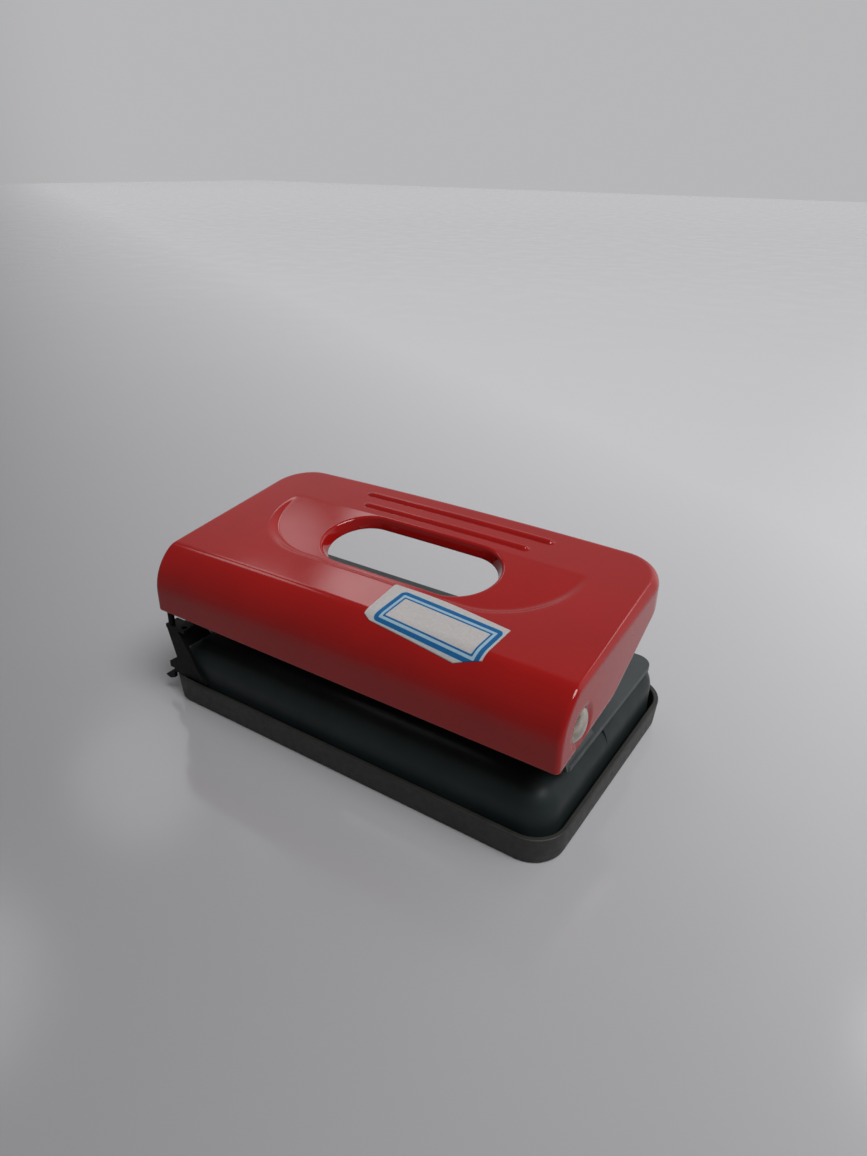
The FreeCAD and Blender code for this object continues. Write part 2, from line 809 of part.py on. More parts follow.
def rib(length, offset, setback):
    """A raised rib with round ends: the part of a round bar that stands out of the sheet."""
    half = rib_width / 2
    radius = (half ** 2 + rib_height ** 2) / (2 * rib_height)
    reach = length / 2 - half
    middle = rib_height - radius
    bar = cylinder(radius, 2 * reach, (offset - reach, setback, middle), ALONG_X)
    left_end = Part.makeSphere(radius, Vector(offset - reach, setback, middle))
    right_end = Part.makeSphere(radius, Vector(offset + reach, setback, middle))
    whole = fused([bar, left_end, right_end])
    low = (offset - length, setback - rib_width, -rib_root)
    high = (offset + length, setback + rib_width, rib_height + overrun)
    return on_lever_top(whole.common(box(low, high)))


def lever():
    """The pressed lever: skirt, bend, pitched top, side walls and a short rear lip."""
    shell = lever_skin(0.0).cut(lever_skin(lever_sheet))
    lip_slope = math.tan(pitch)
    rear = lever_rear + overrun
    shoulder = pivot_y + wall_shoulder_behind
    shoulder_z = pivot_z + wall_shoulder_rise
    low = frame_top - 3 * overrun
    below = [
        (lever_front - overrun, pivot_z - skirt_drop),
        (lever_front, pivot_z - skirt_drop),
        (pivot_y + wall_kink_behind, pivot_z - wall_kink_drop),
        (shoulder, shoulder_z),
        (rear, shoulder_z + (rear - shoulder) * lip_slope),
        (rear, low),
        (lever_front - overrun, low),
    ]
    shell = shell.cut(prism_along_x(below, -lever_half_x - overrun, lever_half_x + overrun))
    lip_inner = (hole_length - 2 * hole_lip_flare, hole_width - 2 * hole_lip_flare)
    lip_outer = tuple(size + 2 * lever_sheet for size in lip_inner)
    place = (hole_offset, hole_setback)
    ring = stadium_block(*lip_outer, -hole_lip, -lever_sheet / 2, *place)
    opening = stadium_block(*lip_inner, -hole_lip - overrun, overrun, *place)
    flare_rise = hole_lip_flare + overrun
    flare = stadium_taper(*lip_inner, flare_rise, -hole_lip_flare, overrun, *place)
    shell = shell.fuse(on_dish(ring)).cut(on_dish(opening.fuse(flare)))
    ribs = [rib(*sizes) for sizes in zip(rib_lengths, rib_offsets, rib_setbacks)]
    shell = fused([shell] + ribs)
    length = 2 * (lever_half_x + overrun)
    bore = cylinder(pivot_diameter / 2 + pivot_play, length, (-length / 2, pivot_y, pivot_z), ALONG_X)
    return shell.cut(bore)


def pivot_rivet(side):
    """A rivet held in the ear, with a bright domed head in the lever's dimple."""
    inner = ear_out - frame_sheet
    outer = lever_half_x - dimple_depth + side_play
    out = ALONG_X * side
    shank = cylinder(pivot_diameter / 2, outer - inner, (side * inner, pivot_y, pivot_z), out)
    head = dome_cap(rivet_head_diameter / 2, rivet_head_dome, (side * outer, pivot_y, pivot_z), out)
    tail = dome_cap(rivet_tail_diameter / 2, rivet_tail_dome, (side * inner, pivot_y, pivot_z), -out)
    return fused([shank, head, tail])


def pivot_washer(side):
    """A flat washer between the ear and the lever's side wall."""
    x = min(side * (ear_out + side_play), side * (ear_out + side_play + washer_thickness))
    place = (x, pivot_y, pivot_z)
    ring = cylinder(washer_diameter / 2, washer_thickness, place, ALONG_X)
    return ring.cut(cylinder(pivot_diameter / 2 + pivot_play, washer_thickness, place, ALONG_X))


def price_label():
    """A blank paper sticker that follows the lever's top and folds over the crease."""
    z_low = frame_top
    reach = (label_left - overrun, label_right + overrun)
    outside = lever_profile(-label_thickness, *reach, z_low)
    skin = outside.cut(lever_profile(0.0, *reach, z_low - overrun))
    outline = [
        (label_left, crease_y - label_left_ahead, bend_z),
        (label_left, crease_y + label_left_back, bend_z),
        (label_right, crease_y + label_right_back, bend_z),
        (label_right - label_right_inset, crease_y - label_right_ahead, bend_z),
        (label_right - label_low_inset, crease_y - label_low_ahead, bend_z),
        (label_left + label_foot_inset, crease_y - label_foot_ahead, bend_z),
    ]
    plan = polygon_face(outline).extrude(Vector(0, 0, lever_top - bend_z))
    return skin.common(plan)


def bar_notches():
    """Grooves across the bar, one where the spring's nose stands for each paper's half width, which
    the paper's edge meets at the foot of the leaning stop."""
    notches = []
    for half_width in paper_half_widths:
        x = leaf_nose + half_width + stop_low_x
        corners = [
            (x - notch_width / 2, bar_front - overrun, bar_top),
            (x, bar_front - overrun, bar_top - notch_depth),
            (x + notch_width / 2, bar_front - overrun, bar_top),
        ]
        notches.append(polygon_face(corners).extrude(ALONG_Y * (bar_width + 2 * overrun)))
    return notches


def paper_guide():
    """An upright with a leaning stop, a cap with a post, and an arm that carries the sliding bar."""
    outline = [
        (guide_left + x_share * upright_width, guide_front, guide_bottom + z_share * upright_height)
        for x_share, z_share in upright_shares
    ]
    upright = polygon_face(outline).extrude(ALONG_Y * guide_sheet)
    left = outline[0][0]
    right = guide_left + cap_right_share * upright_width
    sketch = [
        (stop_top_x - stop_sheet, guide_front, guide_top),
        (stop_low_x - stop_sheet, guide_front, stop_low),
        (stop_low_x, guide_front, stop_low),
        (stop_top_x, guide_front, guide_top),
    ]
    stop_rear = frame_front - stop_rear_gap
    stop = polygon_face(sketch).extrude(ALONG_Y * (stop_rear - guide_front))
    cap_rear = guide_front + cap_depth
    wedge = [
        (cap_rear, guide_top),
        (stop_rear + overrun, guide_top - stop_rear_fall),
        (stop_rear + overrun, guide_top + overrun),
        (cap_rear, guide_top + overrun),
    ]
    stop = stop.cut(prism_along_x(wedge, left, stop_low_x + overrun))
    cap = box((left, guide_front, guide_top - guide_sheet), (right, cap_rear, guide_top))
    cap_place = (right - cap_hole_inset, guide_front + cap_hole_inset, guide_top - guide_sheet / 2)
    cap = cap.cut(cylinder(cap_hole / 2, guide_sheet, cap_place))
    post_place = (left + post_inset, guide_front + post_diameter / 2, guide_top - guide_sheet)
    post = cylinder(post_diameter / 2, post_height + guide_sheet, post_place)
    arm = box((guide_left, guide_front, arm_bottom), (guide_left + guide_sheet, bar_rear, bar_top))
    bar = box((guide_left, bar_front, bar_bottom), (bar_right, bar_rear, bar_top))
    for notch in bar_notches():
        bar = bar.cut(notch)
    return fused([upright, stop, cap, post, arm, bar])


def main():
    os.makedirs("parts", exist_ok=True)
    save(chip_tray(), "chip_tray")
    save(base_plate(), "base_plate")
    save(guide_frame(), "guide_frame")
    save(guide_rail(), "guide_rail")
    save(guide_spring(), "guide_spring")
    save(bracket_rivets(), "bracket_rivets")
    save(frame_rivets(), "frame_rivets")
    for side, name in ((-1, "left"), (1, "right")):
        save(pin_bracket(side), "pin_bracket_" + name)
        save(punch_pin(side), "punch_pin_" + name)
        save(pin_clip(side), "pin_clip_" + name)
        save(pin_spring(side), "pin_spring_" + name)
        save(pivot_rivet(side), "pivot_rivet_" + name)
        save(pivot_washer(side), "pivot_washer_" + name)
    save(lever(), "lever")
    save(price_label(), "price_label")
    save(paper_guide(), "paper_guide")


main()
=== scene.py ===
import json
import math
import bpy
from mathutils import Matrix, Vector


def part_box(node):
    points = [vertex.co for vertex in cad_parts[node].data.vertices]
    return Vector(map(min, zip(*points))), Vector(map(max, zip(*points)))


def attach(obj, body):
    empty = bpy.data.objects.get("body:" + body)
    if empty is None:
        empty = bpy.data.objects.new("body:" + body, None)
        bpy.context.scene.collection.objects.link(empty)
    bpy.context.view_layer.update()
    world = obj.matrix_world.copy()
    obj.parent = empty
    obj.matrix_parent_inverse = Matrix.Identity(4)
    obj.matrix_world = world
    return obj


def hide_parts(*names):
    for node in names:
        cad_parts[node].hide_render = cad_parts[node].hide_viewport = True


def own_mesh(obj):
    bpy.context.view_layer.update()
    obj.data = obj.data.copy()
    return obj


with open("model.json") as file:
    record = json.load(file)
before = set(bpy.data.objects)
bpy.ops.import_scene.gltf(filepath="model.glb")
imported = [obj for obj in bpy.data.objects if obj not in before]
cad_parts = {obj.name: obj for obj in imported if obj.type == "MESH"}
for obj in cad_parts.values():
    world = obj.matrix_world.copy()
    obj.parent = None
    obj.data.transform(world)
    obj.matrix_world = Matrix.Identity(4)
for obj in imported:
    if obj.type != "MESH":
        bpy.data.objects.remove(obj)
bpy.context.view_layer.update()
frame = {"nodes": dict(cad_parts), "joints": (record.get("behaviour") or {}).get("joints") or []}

from types import SimpleNamespace

import bmesh
import bpy
import numpy as np
from bpy.props import FloatProperty, FloatVectorProperty, PointerProperty
from mathutils import Matrix

bl_info = {
    "name": "Desk Punch Finisher",
    "version": (1, 0, 0),
    "blender": (4, 5, 0),
    "location": "View3D > Sidebar > Desk Punch",
    "description": "Dresses a two-hole desk punch in enamel, plastic, paper and steel",
    "category": "Object",
}

joints = {joint["name"]: joint for joint in frame["joints"]}
MM = 0.001


def length(label, default_mm, words):
    """A size in metres, given in millimetres."""
    return FloatProperty(name=label, description=words, default=default_mm * MM, unit="LENGTH", precision=5)


def angle(label, degrees, words):
    """An angle in radians, given in degrees."""
    return FloatProperty(name=label, description=words, default=math.radians(degrees), subtype="ANGLE")


def tint(label, default, words):
    """A colour of a finish, linear."""
    return FloatVectorProperty(name=label, description=words, default=default, size=3, subtype="COLOR")


class LeverSizes(bpy.types.PropertyGroup):
    """How the lever's sheet is bent, dished and ribbed."""
    sheet: length("Sheet", 1.0, "Thickness of the lever's steel")
    bend: length("Bend", 13.6, "Radius of the bend from the front skirt to the top")
    crease_ahead: length("Crease ahead", 3.0, "How far the top's front crease lies ahead of the pivot")
    crease: length("Crease", 5.0, "Radius of the rounding along the crease")
    pitch: angle("Pitch", 7.8, "How steeply the top rises to the rear")
    crown: length("Crown", 0.9, "How far the top's ends lie below its middle")
    fold_front: length("Front fold", 1.15, "Radius of the folds down to the side walls at the front")
    fold_rear: length("Rear fold", 2.4, "Radius of the folds down to the side walls at the rear")
    rear_corner: length("Rear corner", 11.0, "Radius of the rear corners seen from above")
    kink_behind: length("Kink behind", 17.0, "Distance of the side wall's kink behind the pivot")
    kink_drop: length("Kink drop", 2.8, "Drop of the side wall's kink below the pivot")
    shoulder_behind: length("Shoulder behind", 42.0, "Distance of the side wall's shoulder behind the pivot")
    shoulder_rise: length("Shoulder rise", 10.4, "Rise of the side wall's shoulder above the pivot")
    dimple: length("Dimple", 0.55, "Depth of the dimples that take the rivet heads")
    dimple_width: length("Dimple width", 9.0, "Width of the dimples")


class OpeningSizes(bpy.types.PropertyGroup):
    """The hand hole, the dish round it and the ribs, set out along the top from the crease."""
    hole_long: length("Hole length", 48.2, "Length of the hole inside its lip")
    hole_wide: length("Hole width", 18.6, "Width of the hole inside its lip")
    hole_offset: length("Hole offset", 0.6, "Distance of the hole's middle from the lever's middle")
    hole_setback: length("Hole setback", 24.9, "Distance of the hole's middle behind the crease")
    lip_round: length("Lip rounding", 0.9, "Radius where the sheet turns down into the hole")
    lip_lean: angle("Lip lean", 23.0, "How far the lip's wall leans into the hole")
    lip_depth: length("Lip depth", 3.0, "How deep the lip reaches below the dish")
    dish_end: length("Dish end", 36.0, "Distance behind the crease where the dish's floor meets the top")
    dish_tilt: angle("Dish tilt", 3.6, "How steeply the dish's floor falls to the front")
    dish_long: length("Dish length", 91.5, "Length of the dish")
    dish_offset: length("Dish offset", -0.6, "Distance of the dish's middle from the lever's middle")
    dish_wide: length("Dish width", 45.0, "Width of the dish")
    dish_setback: length("Dish setback", 32.9, "Distance of the dish's middle behind the crease")
    dish_slope: length("Dish slope", 3.6, "Width of the slope at the dish's edge")
    rib_wide: length("Rib width", 2.3, "Width of a rib at its foot")
    rib_high: length("Rib height", 0.68, "Height of a rib")


class LabelSizes(bpy.types.PropertyGroup):
    """The paper sticker, set out from the crease."""
    left: length("Left", 6.6, "Left edge")
    right: length("Right", 38.5, "Right edge at its rear corner")
    left_back: length("Left back", 12.4, "How far it reaches behind the crease at the left")
    right_back: length("Right back", 8.8, "How far it reaches behind the crease at the right")
    left_ahead: length("Left ahead", 1.1, "How far its left edge reaches ahead of the crease")
    foot_inset: length("Foot inset", 2.0, "How far its low left corner is cut off")
    foot_ahead: length("Foot ahead", 2.0, "How far the low edge lies ahead of the crease at the left")
    low_inset: length("Low inset", 6.7, "How far its low right corner is cut off")
    low_ahead: length("Low ahead", 3.7, "How far the low edge lies ahead of the crease at the right")
    right_inset: length("Right inset", 0.8, "How far the right edge leans in at its front")
    right_ahead: length("Right ahead", 1.8, "How far its right edge reaches ahead of the crease")
    thick: length("Thickness", 0.14, "Thickness of the paper")
    print_x: length("Print X", 23.5, "Middle of the printed border")
    print_run: length("Print run", 2.85, "Middle of the printed border behind the crease")
    print_long: length("Print length", 27.9, "Length of the printed border")
    print_wide: length("Print width", 11.7, "Width of the printed border")
    print_corner: length("Print corner", 1.3, "Radius of the printed border's corners")
    print_turn: angle("Print turn", -4.2, "How far the printed border is turned")


class Finishes(bpy.types.PropertyGroup):
    """The colours of the finishes."""
    lever_red: tint("Lever red", (0.325, 0.006, 0.005), "The lever's enamel")
    base_grey: tint("Base grey", (0.019, 0.0255, 0.0255), "The base plate's enamel")
    frame_grey: tint("Frame grey", (0.038, 0.048, 0.050), "The guide frame's enamel")
    tray_black: tint("Tray black", (0.019, 0.0185, 0.017), "The chip tray's plastic")
    guide_black: tint("Guide black", (0.004, 0.004, 0.004), "The paper guide's plastic")
    steel: tint("Steel", (0.42, 0.41, 0.39), "Plain plated steel")
    rivet_steel: tint("Rivet steel", (0.57, 0.51, 0.44), "The pivot rivets' plating")
    paper: tint("Paper", (0.465, 0.44, 0.43), "The sticker's paper")
    paper_blue: tint("Paper blue", (0.004, 0.10, 0.27), "The sticker's printed lines")
    # The floor's colour at the front left is painted shade: the floor is darker there in colour, not in light
    table_near: tint("Table near", (0.19, 0.185, 0.19), "The floor at the front left")
    table_far: tint("Table far", (0.63, 0.63, 0.65), "The floor at the back and the right")


def settings():
    """The sizes of the lever, and of its opening and ribs."""
    return bpy.context.scene.punch_lever, bpy.context.scene.punch_opening


def smooth_step(share):
    """0 below 0, 1 above 1, and 3s^2 - 2s^3 between."""
    share = np.clip(share, 0.0, 1.0)
    return share * share * (3.0 - 2.0 * share)


def quads_of(rows, columns, wrap_rows, wrap_columns):
    """The corner numbers of every cell of a grid of points that is counted row by row."""
    index = np.arange(rows * columns).reshape(rows, columns)
    if wrap_rows:
        index = np.concatenate([index, index[:1]], axis=0)
    if wrap_columns:
        index = np.concatenate([index, index[:, :1]], axis=1)
    corners = (index[:-1, :-1], index[:-1, 1:], index[1:, 1:], index[1:, :-1])
    return np.stack(corners, axis=-1).reshape(-1, 4)


def linked(name, data):
    """A new object with its mesh, lamp or camera, in the scene's collection."""
    made = bpy.data.objects.new(name, data)
    bpy.context.scene.collection.objects.link(made)
    return made


def grid_object(name, points, wrap_rows=False, wrap_columns=False, caps=False):
    """A mesh of quads through a grid of points with shape (rows, columns, 3), in metres.
    With caps, the first and last rows are closed by one face each."""
    rows, columns = points.shape[:2]
    faces = quads_of(rows, columns, wrap_rows, wrap_columns).tolist()
    if caps:
        last = (rows - 1) * columns
        faces.append(list(range(columns)))
        faces.append(list(range(last, last + columns)))
    mesh = bpy.data.meshes.new(name)
    mesh.from_pydata(points.reshape(-1, 3).tolist(), [], faces)
    shell = bmesh.new()
    shell.from_mesh(mesh)
    bmesh.ops.recalc_face_normals(shell, faces=shell.faces)
    shell.to_mesh(mesh)
    shell.free()
    mesh.polygons.foreach_set("use_smooth", np.ones(len(mesh.polygons), bool))
    return linked(name, mesh)


# Decimals of a metre to which corners are merged, the angle up to which neighbours are one flat face,
# and the angles from which an edge is sharp and is eased
CORNER_DECIMALS = 7
FLAT_UP_TO = math.radians(0.5)
SHARP_FROM = math.radians(30.0)
EASED_FROM = math.radians(35.0)


def eased_copy(name, node, ease):
    """A piece with a CAD node's own shape. Its equal corners are merged, triangles left with fewer than
    three are dropped, flat neighbours are joined, and its edges are eased by this width in metres."""
    source = frame["nodes"][node].data
    corners = np.zeros(len(source.vertices) * 3)
    source.vertices.foreach_get("co", corners)
    corners = np.round(corners.reshape(-1, 3), CORNER_DECIMALS)
    triangles = np.zeros(len(source.loops), int)
    source.loops.foreach_get("vertex_index", triangles)
    places, which = np.unique(corners, axis=0, return_inverse=True)
    triangles = which.reshape(-1)[triangles].reshape(-1, 3)
    whole = np.all(triangles != np.roll(triangles, 1, axis=1), axis=1)
    mesh = bpy.data.meshes.new(name)
    mesh.from_pydata(places.tolist(), [], triangles[whole].tolist())
    shell = bmesh.new()
    shell.from_mesh(mesh)
    bmesh.ops.dissolve_limit(shell, angle_limit=FLAT_UP_TO, verts=shell.verts, edges=shell.edges)
    for edge in shell.edges:
        edge.smooth = edge.calc_face_angle(0.0) < SHARP_FROM
    for face in shell.faces:
        face.smooth = True
    shell.to_mesh(mesh)
    shell.free()
    made = linked(name, mesh)
    if ease > 0.0:
        bevel = made.modifiers.new("ease", "BEVEL")
        bevel.width = ease
        bevel.segments = 2
        bevel.limit_method = "ANGLE"
        bevel.angle_limit = EASED_FROM
    return made


def dress(made, body, slot, material, *nodes):
    """Gives a piece its material, the body that it rides on and the CAD nodes that it stands for."""
    made.data.materials.append(material)
    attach(made, body)
    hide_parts(*nodes)


def mirrored(half, middle=0.0):
    """A closed path from its right half, whose first and last points lie on the middle line, and the
    same points in reverse as far to the left of it."""
    other = half[-2:0:-1].copy()
    other[:, 0] = 2.0 * middle - other[:, 0]
    return np.concatenate([half, other])


def arc_points(centre, radius, start, end, count):
    """Points on a circle from one angle up to, but not at, another."""
    angle = start + (end - start) * np.arange(count) / count
    return np.stack([centre[0] + radius * np.cos(angle), centre[1] + radius * np.sin(angle)], axis=-1)


def line_points(start, end, count):
    """Points on a straight line from its start up to, but not at, its end."""
    share = (np.arange(count) / count)[:, None]
    return np.array(start) * (1.0 - share) + np.array(end) * share


def rounded_path(half_x, front, rear, front_round, rear_round, counts):
    """Half of a closed path round a rectangle with quarter circles at its corners, from the middle of
    the front to the middle of the rear. counts gives the points on each of its five stretches."""
    quarter = math.pi / 2
    side_front = front + front_round
    side_rear = rear - rear_round
    stretches = [
        line_points((0.0, front), (half_x - front_round, front), counts[0]),
        arc_points((half_x - front_round, side_front), front_round, -quarter, 0.0, counts[1]),
        line_points((half_x, side_front), (half_x, side_rear), counts[2]),
        arc_points((half_x - rear_round, side_rear), rear_round, 0.0, quarter, counts[3]),
        line_points((half_x - rear_round, rear), (0.0, rear), counts[4]),
        np.array([[0.0, rear]]),
    ]
    return np.concatenate(stretches)


def path_normals(path):
    """Outward unit normals of a closed path that runs anticlockwise: the way from the point before to
    the point after, turned a quarter to the right."""
    along = np.roll(path, -1, axis=0) - np.roll(path, 1, axis=0)
    normal = np.stack([along[:, 1], -along[:, 0]], axis=-1)
    return normal / np.linalg.norm(normal, axis=1, keepdims=True)


def lever_numbers():
    """The lever's places, worked out from its box, its pivot and its sizes. The bend's circle is centred
    level with the pivot and passes through the crease. The rounding's circle touches it from inside
    and the top's line from below."""
    sizes, opening = settings()
    low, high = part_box("lever")
    pivot = joints["lever_press"]["pos_m"]
    it = SimpleNamespace(sizes=sizes, opening=opening)
    it.pivot_y, it.pivot_z = pivot[1], pivot[2]
    it.half_x, it.front, it.rear, it.low = high.x, low.y, high.y, low.z
    it.bend = np.array([it.front + sizes.bend, it.pivot_z])
    crease_y = it.pivot_y - sizes.crease_ahead
    rise = math.sqrt(sizes.bend ** 2 - (crease_y - it.bend[0]) ** 2)
    it.crease = np.array([crease_y, it.pivot_z + rise])
    it.along = np.array([math.cos(sizes.pitch), math.sin(sizes.pitch)])
    it.normal = np.array([-math.sin(sizes.pitch), math.cos(sizes.pitch)])
    start = it.crease - it.normal * sizes.crease - it.bend
    lead = float(start @ it.along)
    rest = float(start @ start) - (sizes.bend - sizes.crease) ** 2
    back = -lead - math.sqrt(lead ** 2 - rest)
    it.round = it.crease - it.normal * sizes.crease + it.along * back
    return it


def profile_height(it, y, inset):
    """Height of the lever's profile moved inwards by inset: an arc of the bend's radius up from the
    skirt, a smaller arc over the crease that touches it, and a straight line that rises to the rear."""
    bend = it.sizes.bend - inset
    crease = it.sizes.crease - inset
    share = (it.round[0] - it.bend[0]) / (it.sizes.bend - it.sizes.crease)
    arc_end = it.bend[0] + share * bend
    line_start = it.round[0] + it.normal[0] * crease
    arc = it.bend[1] + np.sqrt(np.clip(bend ** 2 - (y - it.bend[0]) ** 2, 0.0, None))
    rounding = it.round[1] + np.sqrt(np.clip(crease ** 2 - (y - it.round[0]) ** 2, 0.0, None))
    slope = it.along[1] / it.along[0]
    line = it.crease[1] + (y - it.crease[0]) * slope - inset / it.along[0]
    return np.where(y < arc_end, arc, np.where(y < line_start, rounding, line))


def fold_radius(it, y):
    """The fold's radius, which grows smoothly from the front to the rear."""
    share = smooth_step((y - it.front) / (it.rear - it.front))
    return it.sizes.fold_front + (it.sizes.fold_rear - it.sizes.fold_front) * share


def fold_inset(it, x, y, inset):
    """How far the fold to the walls draws the top inwards: r - sqrt(r^2 - (r + d)^2), where d is the
    distance outside the rounded outline, and nothing further in than r."""
    corner = it.sizes.rear_corner
    aside = np.abs(x) - (it.half_x - corner)
    behind = y - (it.rear - corner)
    outside = np.hypot(np.clip(aside, 0.0, None), np.clip(behind, 0.0, None))
    distance = outside + np.minimum(np.maximum(aside, behind), 0.0) - corner
    radius = fold_radius(it, y)
    inner = radius - inset
    reach = np.clip(radius + distance, 0.0, inner)
    return inner - np.sqrt(inner ** 2 - reach ** 2)


# Each rib's length, the offset of its middle from the lever's and its distance behind the crease
RIBS = ((0.0506, 0.0012, 0.0396), (0.0577, 0.0018, 0.0451))
# Shares of the dish's slope: its width where the dish is shallow, and the floor's reach round the lip
SHALLOW_SLOPE = 0.5
LIP_REACH = 0.6


def sheet_shape(it, x, y):
    """What the press tool adds to the top, square to it: the dish, a floor that falls to the front
    inside a stadium with sloping edges and close round the lip, and the ribs, each a circle's arc in
    section along a line with round ends."""
    opening = it.opening
    back = (y - it.crease[0]) / it.along[0]
    fall = np.clip(opening.dish_end - back, 0.0, None) * math.tan(opening.dish_tilt)
    reach = (opening.dish_long - opening.dish_wide) / 2
    dish_aside = np.clip(np.abs(x - opening.dish_offset) - reach, 0.0, None)
    off = np.hypot(dish_aside, back - opening.dish_setback)
    deepest = (opening.dish_end - opening.dish_setback + opening.dish_wide / 2) * math.tan(opening.dish_tilt)
    steepness = SHALLOW_SLOPE + (1.0 - SHALLOW_SLOPE) * np.clip(fall / deepest, 0.0, 1.0)
    slope = opening.dish_slope * steepness
    inside = smooth_step((opening.dish_wide / 2 - off) / slope)
    hole_reach = (opening.hole_long - opening.hole_wide) / 2
    hole_off = np.hypot(np.clip(np.abs(x - opening.hole_offset) - hole_reach, 0.0, None),
                        back - opening.hole_setback)
    near_hole = hole_off - opening.hole_wide / 2 - lip_spread(opening)
    beside = 1.0 - smooth_step(near_hole / (LIP_REACH * opening.dish_slope))
    height = -fall * (1.0 - (1.0 - inside) * (1.0 - beside))
    half = opening.rib_wide / 2
    radius = (half ** 2 + opening.rib_high ** 2) / (2 * opening.rib_high)
    for rib_long, rib_offset, rib_setback in RIBS:
        aside = np.clip(np.abs(x - rib_offset) - rib_long / 2 + half, 0.0, None)
        off_rib = np.minimum(np.hypot(aside, back - rib_setback), half)
        height = height + np.sqrt(radius ** 2 - off_rib ** 2) - (radius - opening.rib_high)
    return height


def lip_spread(opening):
    """How much wider all round the lip starts than it ends: its rounding and its leaning wall."""
    turn = math.pi / 2 - opening.lip_lean
    fall = opening.lip_round * (1.0 - math.cos(turn))
    return opening.lip_round * math.sin(turn) + (opening.lip_depth - fall) * math.tan(opening.lip_lean)


# The lip's section: the steps of its rounding, the easing of its edge as a share of the sheet, the
# middle of an eased corner as shares of that, and the steps up its back as shares of the rise
LIP_STEPS = 8
LIP_EASE = 0.25
CORNER_ASIDE, CORNER_UP = 0.25, 0.3
LIP_BACK_STEPS = (0.5, 0.8, 1.0)
# How far the last point up the back stands off, as a share of the sheet
LIP_ROOT = 0.3


def lip_section(opening, sheet):
    """The lip's section from the dish down its rounding and its leaning wall, round its edge and up
    its back: pairs of how far outside the hole and how deep below the dish a point lies. On the
    rounding these are the spread less r sin a, and r (1 - cos a)."""
    spread = lip_spread(opening)
    lean = math.tan(opening.lip_lean)
    radius, depth = opening.lip_round, opening.lip_depth
    angles = np.linspace(0.0, math.pi / 2 - opening.lip_lean, LIP_STEPS + 1)[1:]
    points = [(spread - radius * math.sin(a), radius * (1.0 - math.cos(a))) for a in angles]
    ease = LIP_EASE * sheet
    corner = depth - CORNER_UP * ease
    points += [(ease * lean, depth - ease), (CORNER_ASIDE * ease, corner), (ease, depth)]
    back = sheet / math.cos(opening.lip_lean)
    points += [(back - ease, depth), (back - CORNER_ASIDE * ease, corner), (back + ease * lean, depth - ease)]
    rise = depth - sheet
    points += [(back + rise * lean * share, depth - rise * share) for share in LIP_BACK_STEPS]
    points += [(back + rise * lean + LIP_ROOT * sheet, sheet)]
    return points


def top_height(it, x, y, inset):
    """Height of the lever's sheet over a place in plan: its profile, drawn in at the folds, with a
    parabola for its crown and what the press tool adds."""
    drawn = inset + fold_inset(it, x, y, inset)
    crown = it.sizes.crown * (x / it.half_x) ** 2
    return profile_height(it, y, drawn) - crown + sheet_shape(it, x, y) / it.along[0]


# How far each way the wall's lower edge is averaged, in metres, and at how many places
EDGE_SOFTENING = 0.0012
EDGE_SAMPLES = 9


def wall_bottom(it, y):
    """Height of the side wall's lower edge: a broken line, softened by averaging it over a short way."""
    sizes = it.sizes
    shoulder = it.pivot_y + sizes.shoulder_behind
    shoulder_z = it.pivot_z + sizes.shoulder_rise
    far = it.rear + sizes.rear_corner
    slope = it.along[1] / it.along[0]
    places = [it.front, it.pivot_y + sizes.kink_behind, shoulder, far]
    heights = [it.low, it.pivot_z - sizes.kink_drop, shoulder_z, shoulder_z + (far - shoulder) * slope]
    window = np.linspace(-EDGE_SOFTENING, EDGE_SOFTENING, EDGE_SAMPLES)
    return np.mean([np.interp(y + step, places, heights) for step in window], axis=0)


def on_dish(it, x, back, height):
    """A point of the dish's plane, given along the top from the crease, as a place in the frame."""
    opening = it.opening
    cos_t, sin_t = math.cos(opening.dish_tilt), math.sin(opening.dish_tilt)
    along = opening.dish_end + (back - opening.dish_end) * cos_t - height * sin_t
    above = (back - opening.dish_end) * sin_t + height * cos_t
    y = it.crease[0] + along * it.along[0] - above * it.along[1]
    z = it.crease[1] + along * it.along[1] + above * it.along[0]
    return np.stack([x, y, z], axis=-1)


# The lever's grid: columns on each stretch of half its outline, and rows up the outside of the walls,
# over the fold, on to the hole, back inside and down the inside of the walls
LEVER_COLUMNS = (72, 6, 60, 24, 72)
OUTSIDE_ROWS, FOLD_ROWS, TOP_ROWS, UNDER_ROWS, INSIDE_ROWS = 16, 10, 92, 29, 8
# The power that crowds the rows under the top towards the walls
UNDER_CROWDING = 1.5
# How high above their lower edge the walls' rows end, as a share of the sheet, and the edge's own
# rows as shares of the sheet inwards and of that rise
EDGE_RISE = 0.3
EDGE_ROWS = ((0.9, 0.3), (0.7, 0.0), (0.3, 0.0), (0.1, 0.3))
# How far inside its rim a dimple's slope starts and how wide it is, in metres, and how many sheets
# deep at the lever's side it is pressed
DIMPLE_START, DIMPLE_SLOPE = 0.6 * MM, 0.8 * MM
SIDE_SHEETS = 1.5


def hole_path(it, offset):
    """The hole's outline moved outwards by offset, matched point by point with the lever's outline."""
    opening = it.opening
    radius = opening.hole_wide / 2 + offset
    middle = opening.hole_offset
    end = middle + (opening.hole_long - opening.hole_wide) / 2
    front, rear = opening.hole_setback - radius, opening.hole_setback + radius
    quarter = math.pi / 2
    half = np.concatenate([
        line_points((middle, front), (end, front), LEVER_COLUMNS[0]),
        arc_points((end, opening.hole_setback), radius, -quarter, quarter, sum(LEVER_COLUMNS[1:4])),
        line_points((end, rear), (middle, rear), LEVER_COLUMNS[4]),
        np.array([[middle, rear]]),
    ])
    return mirrored(half, middle)


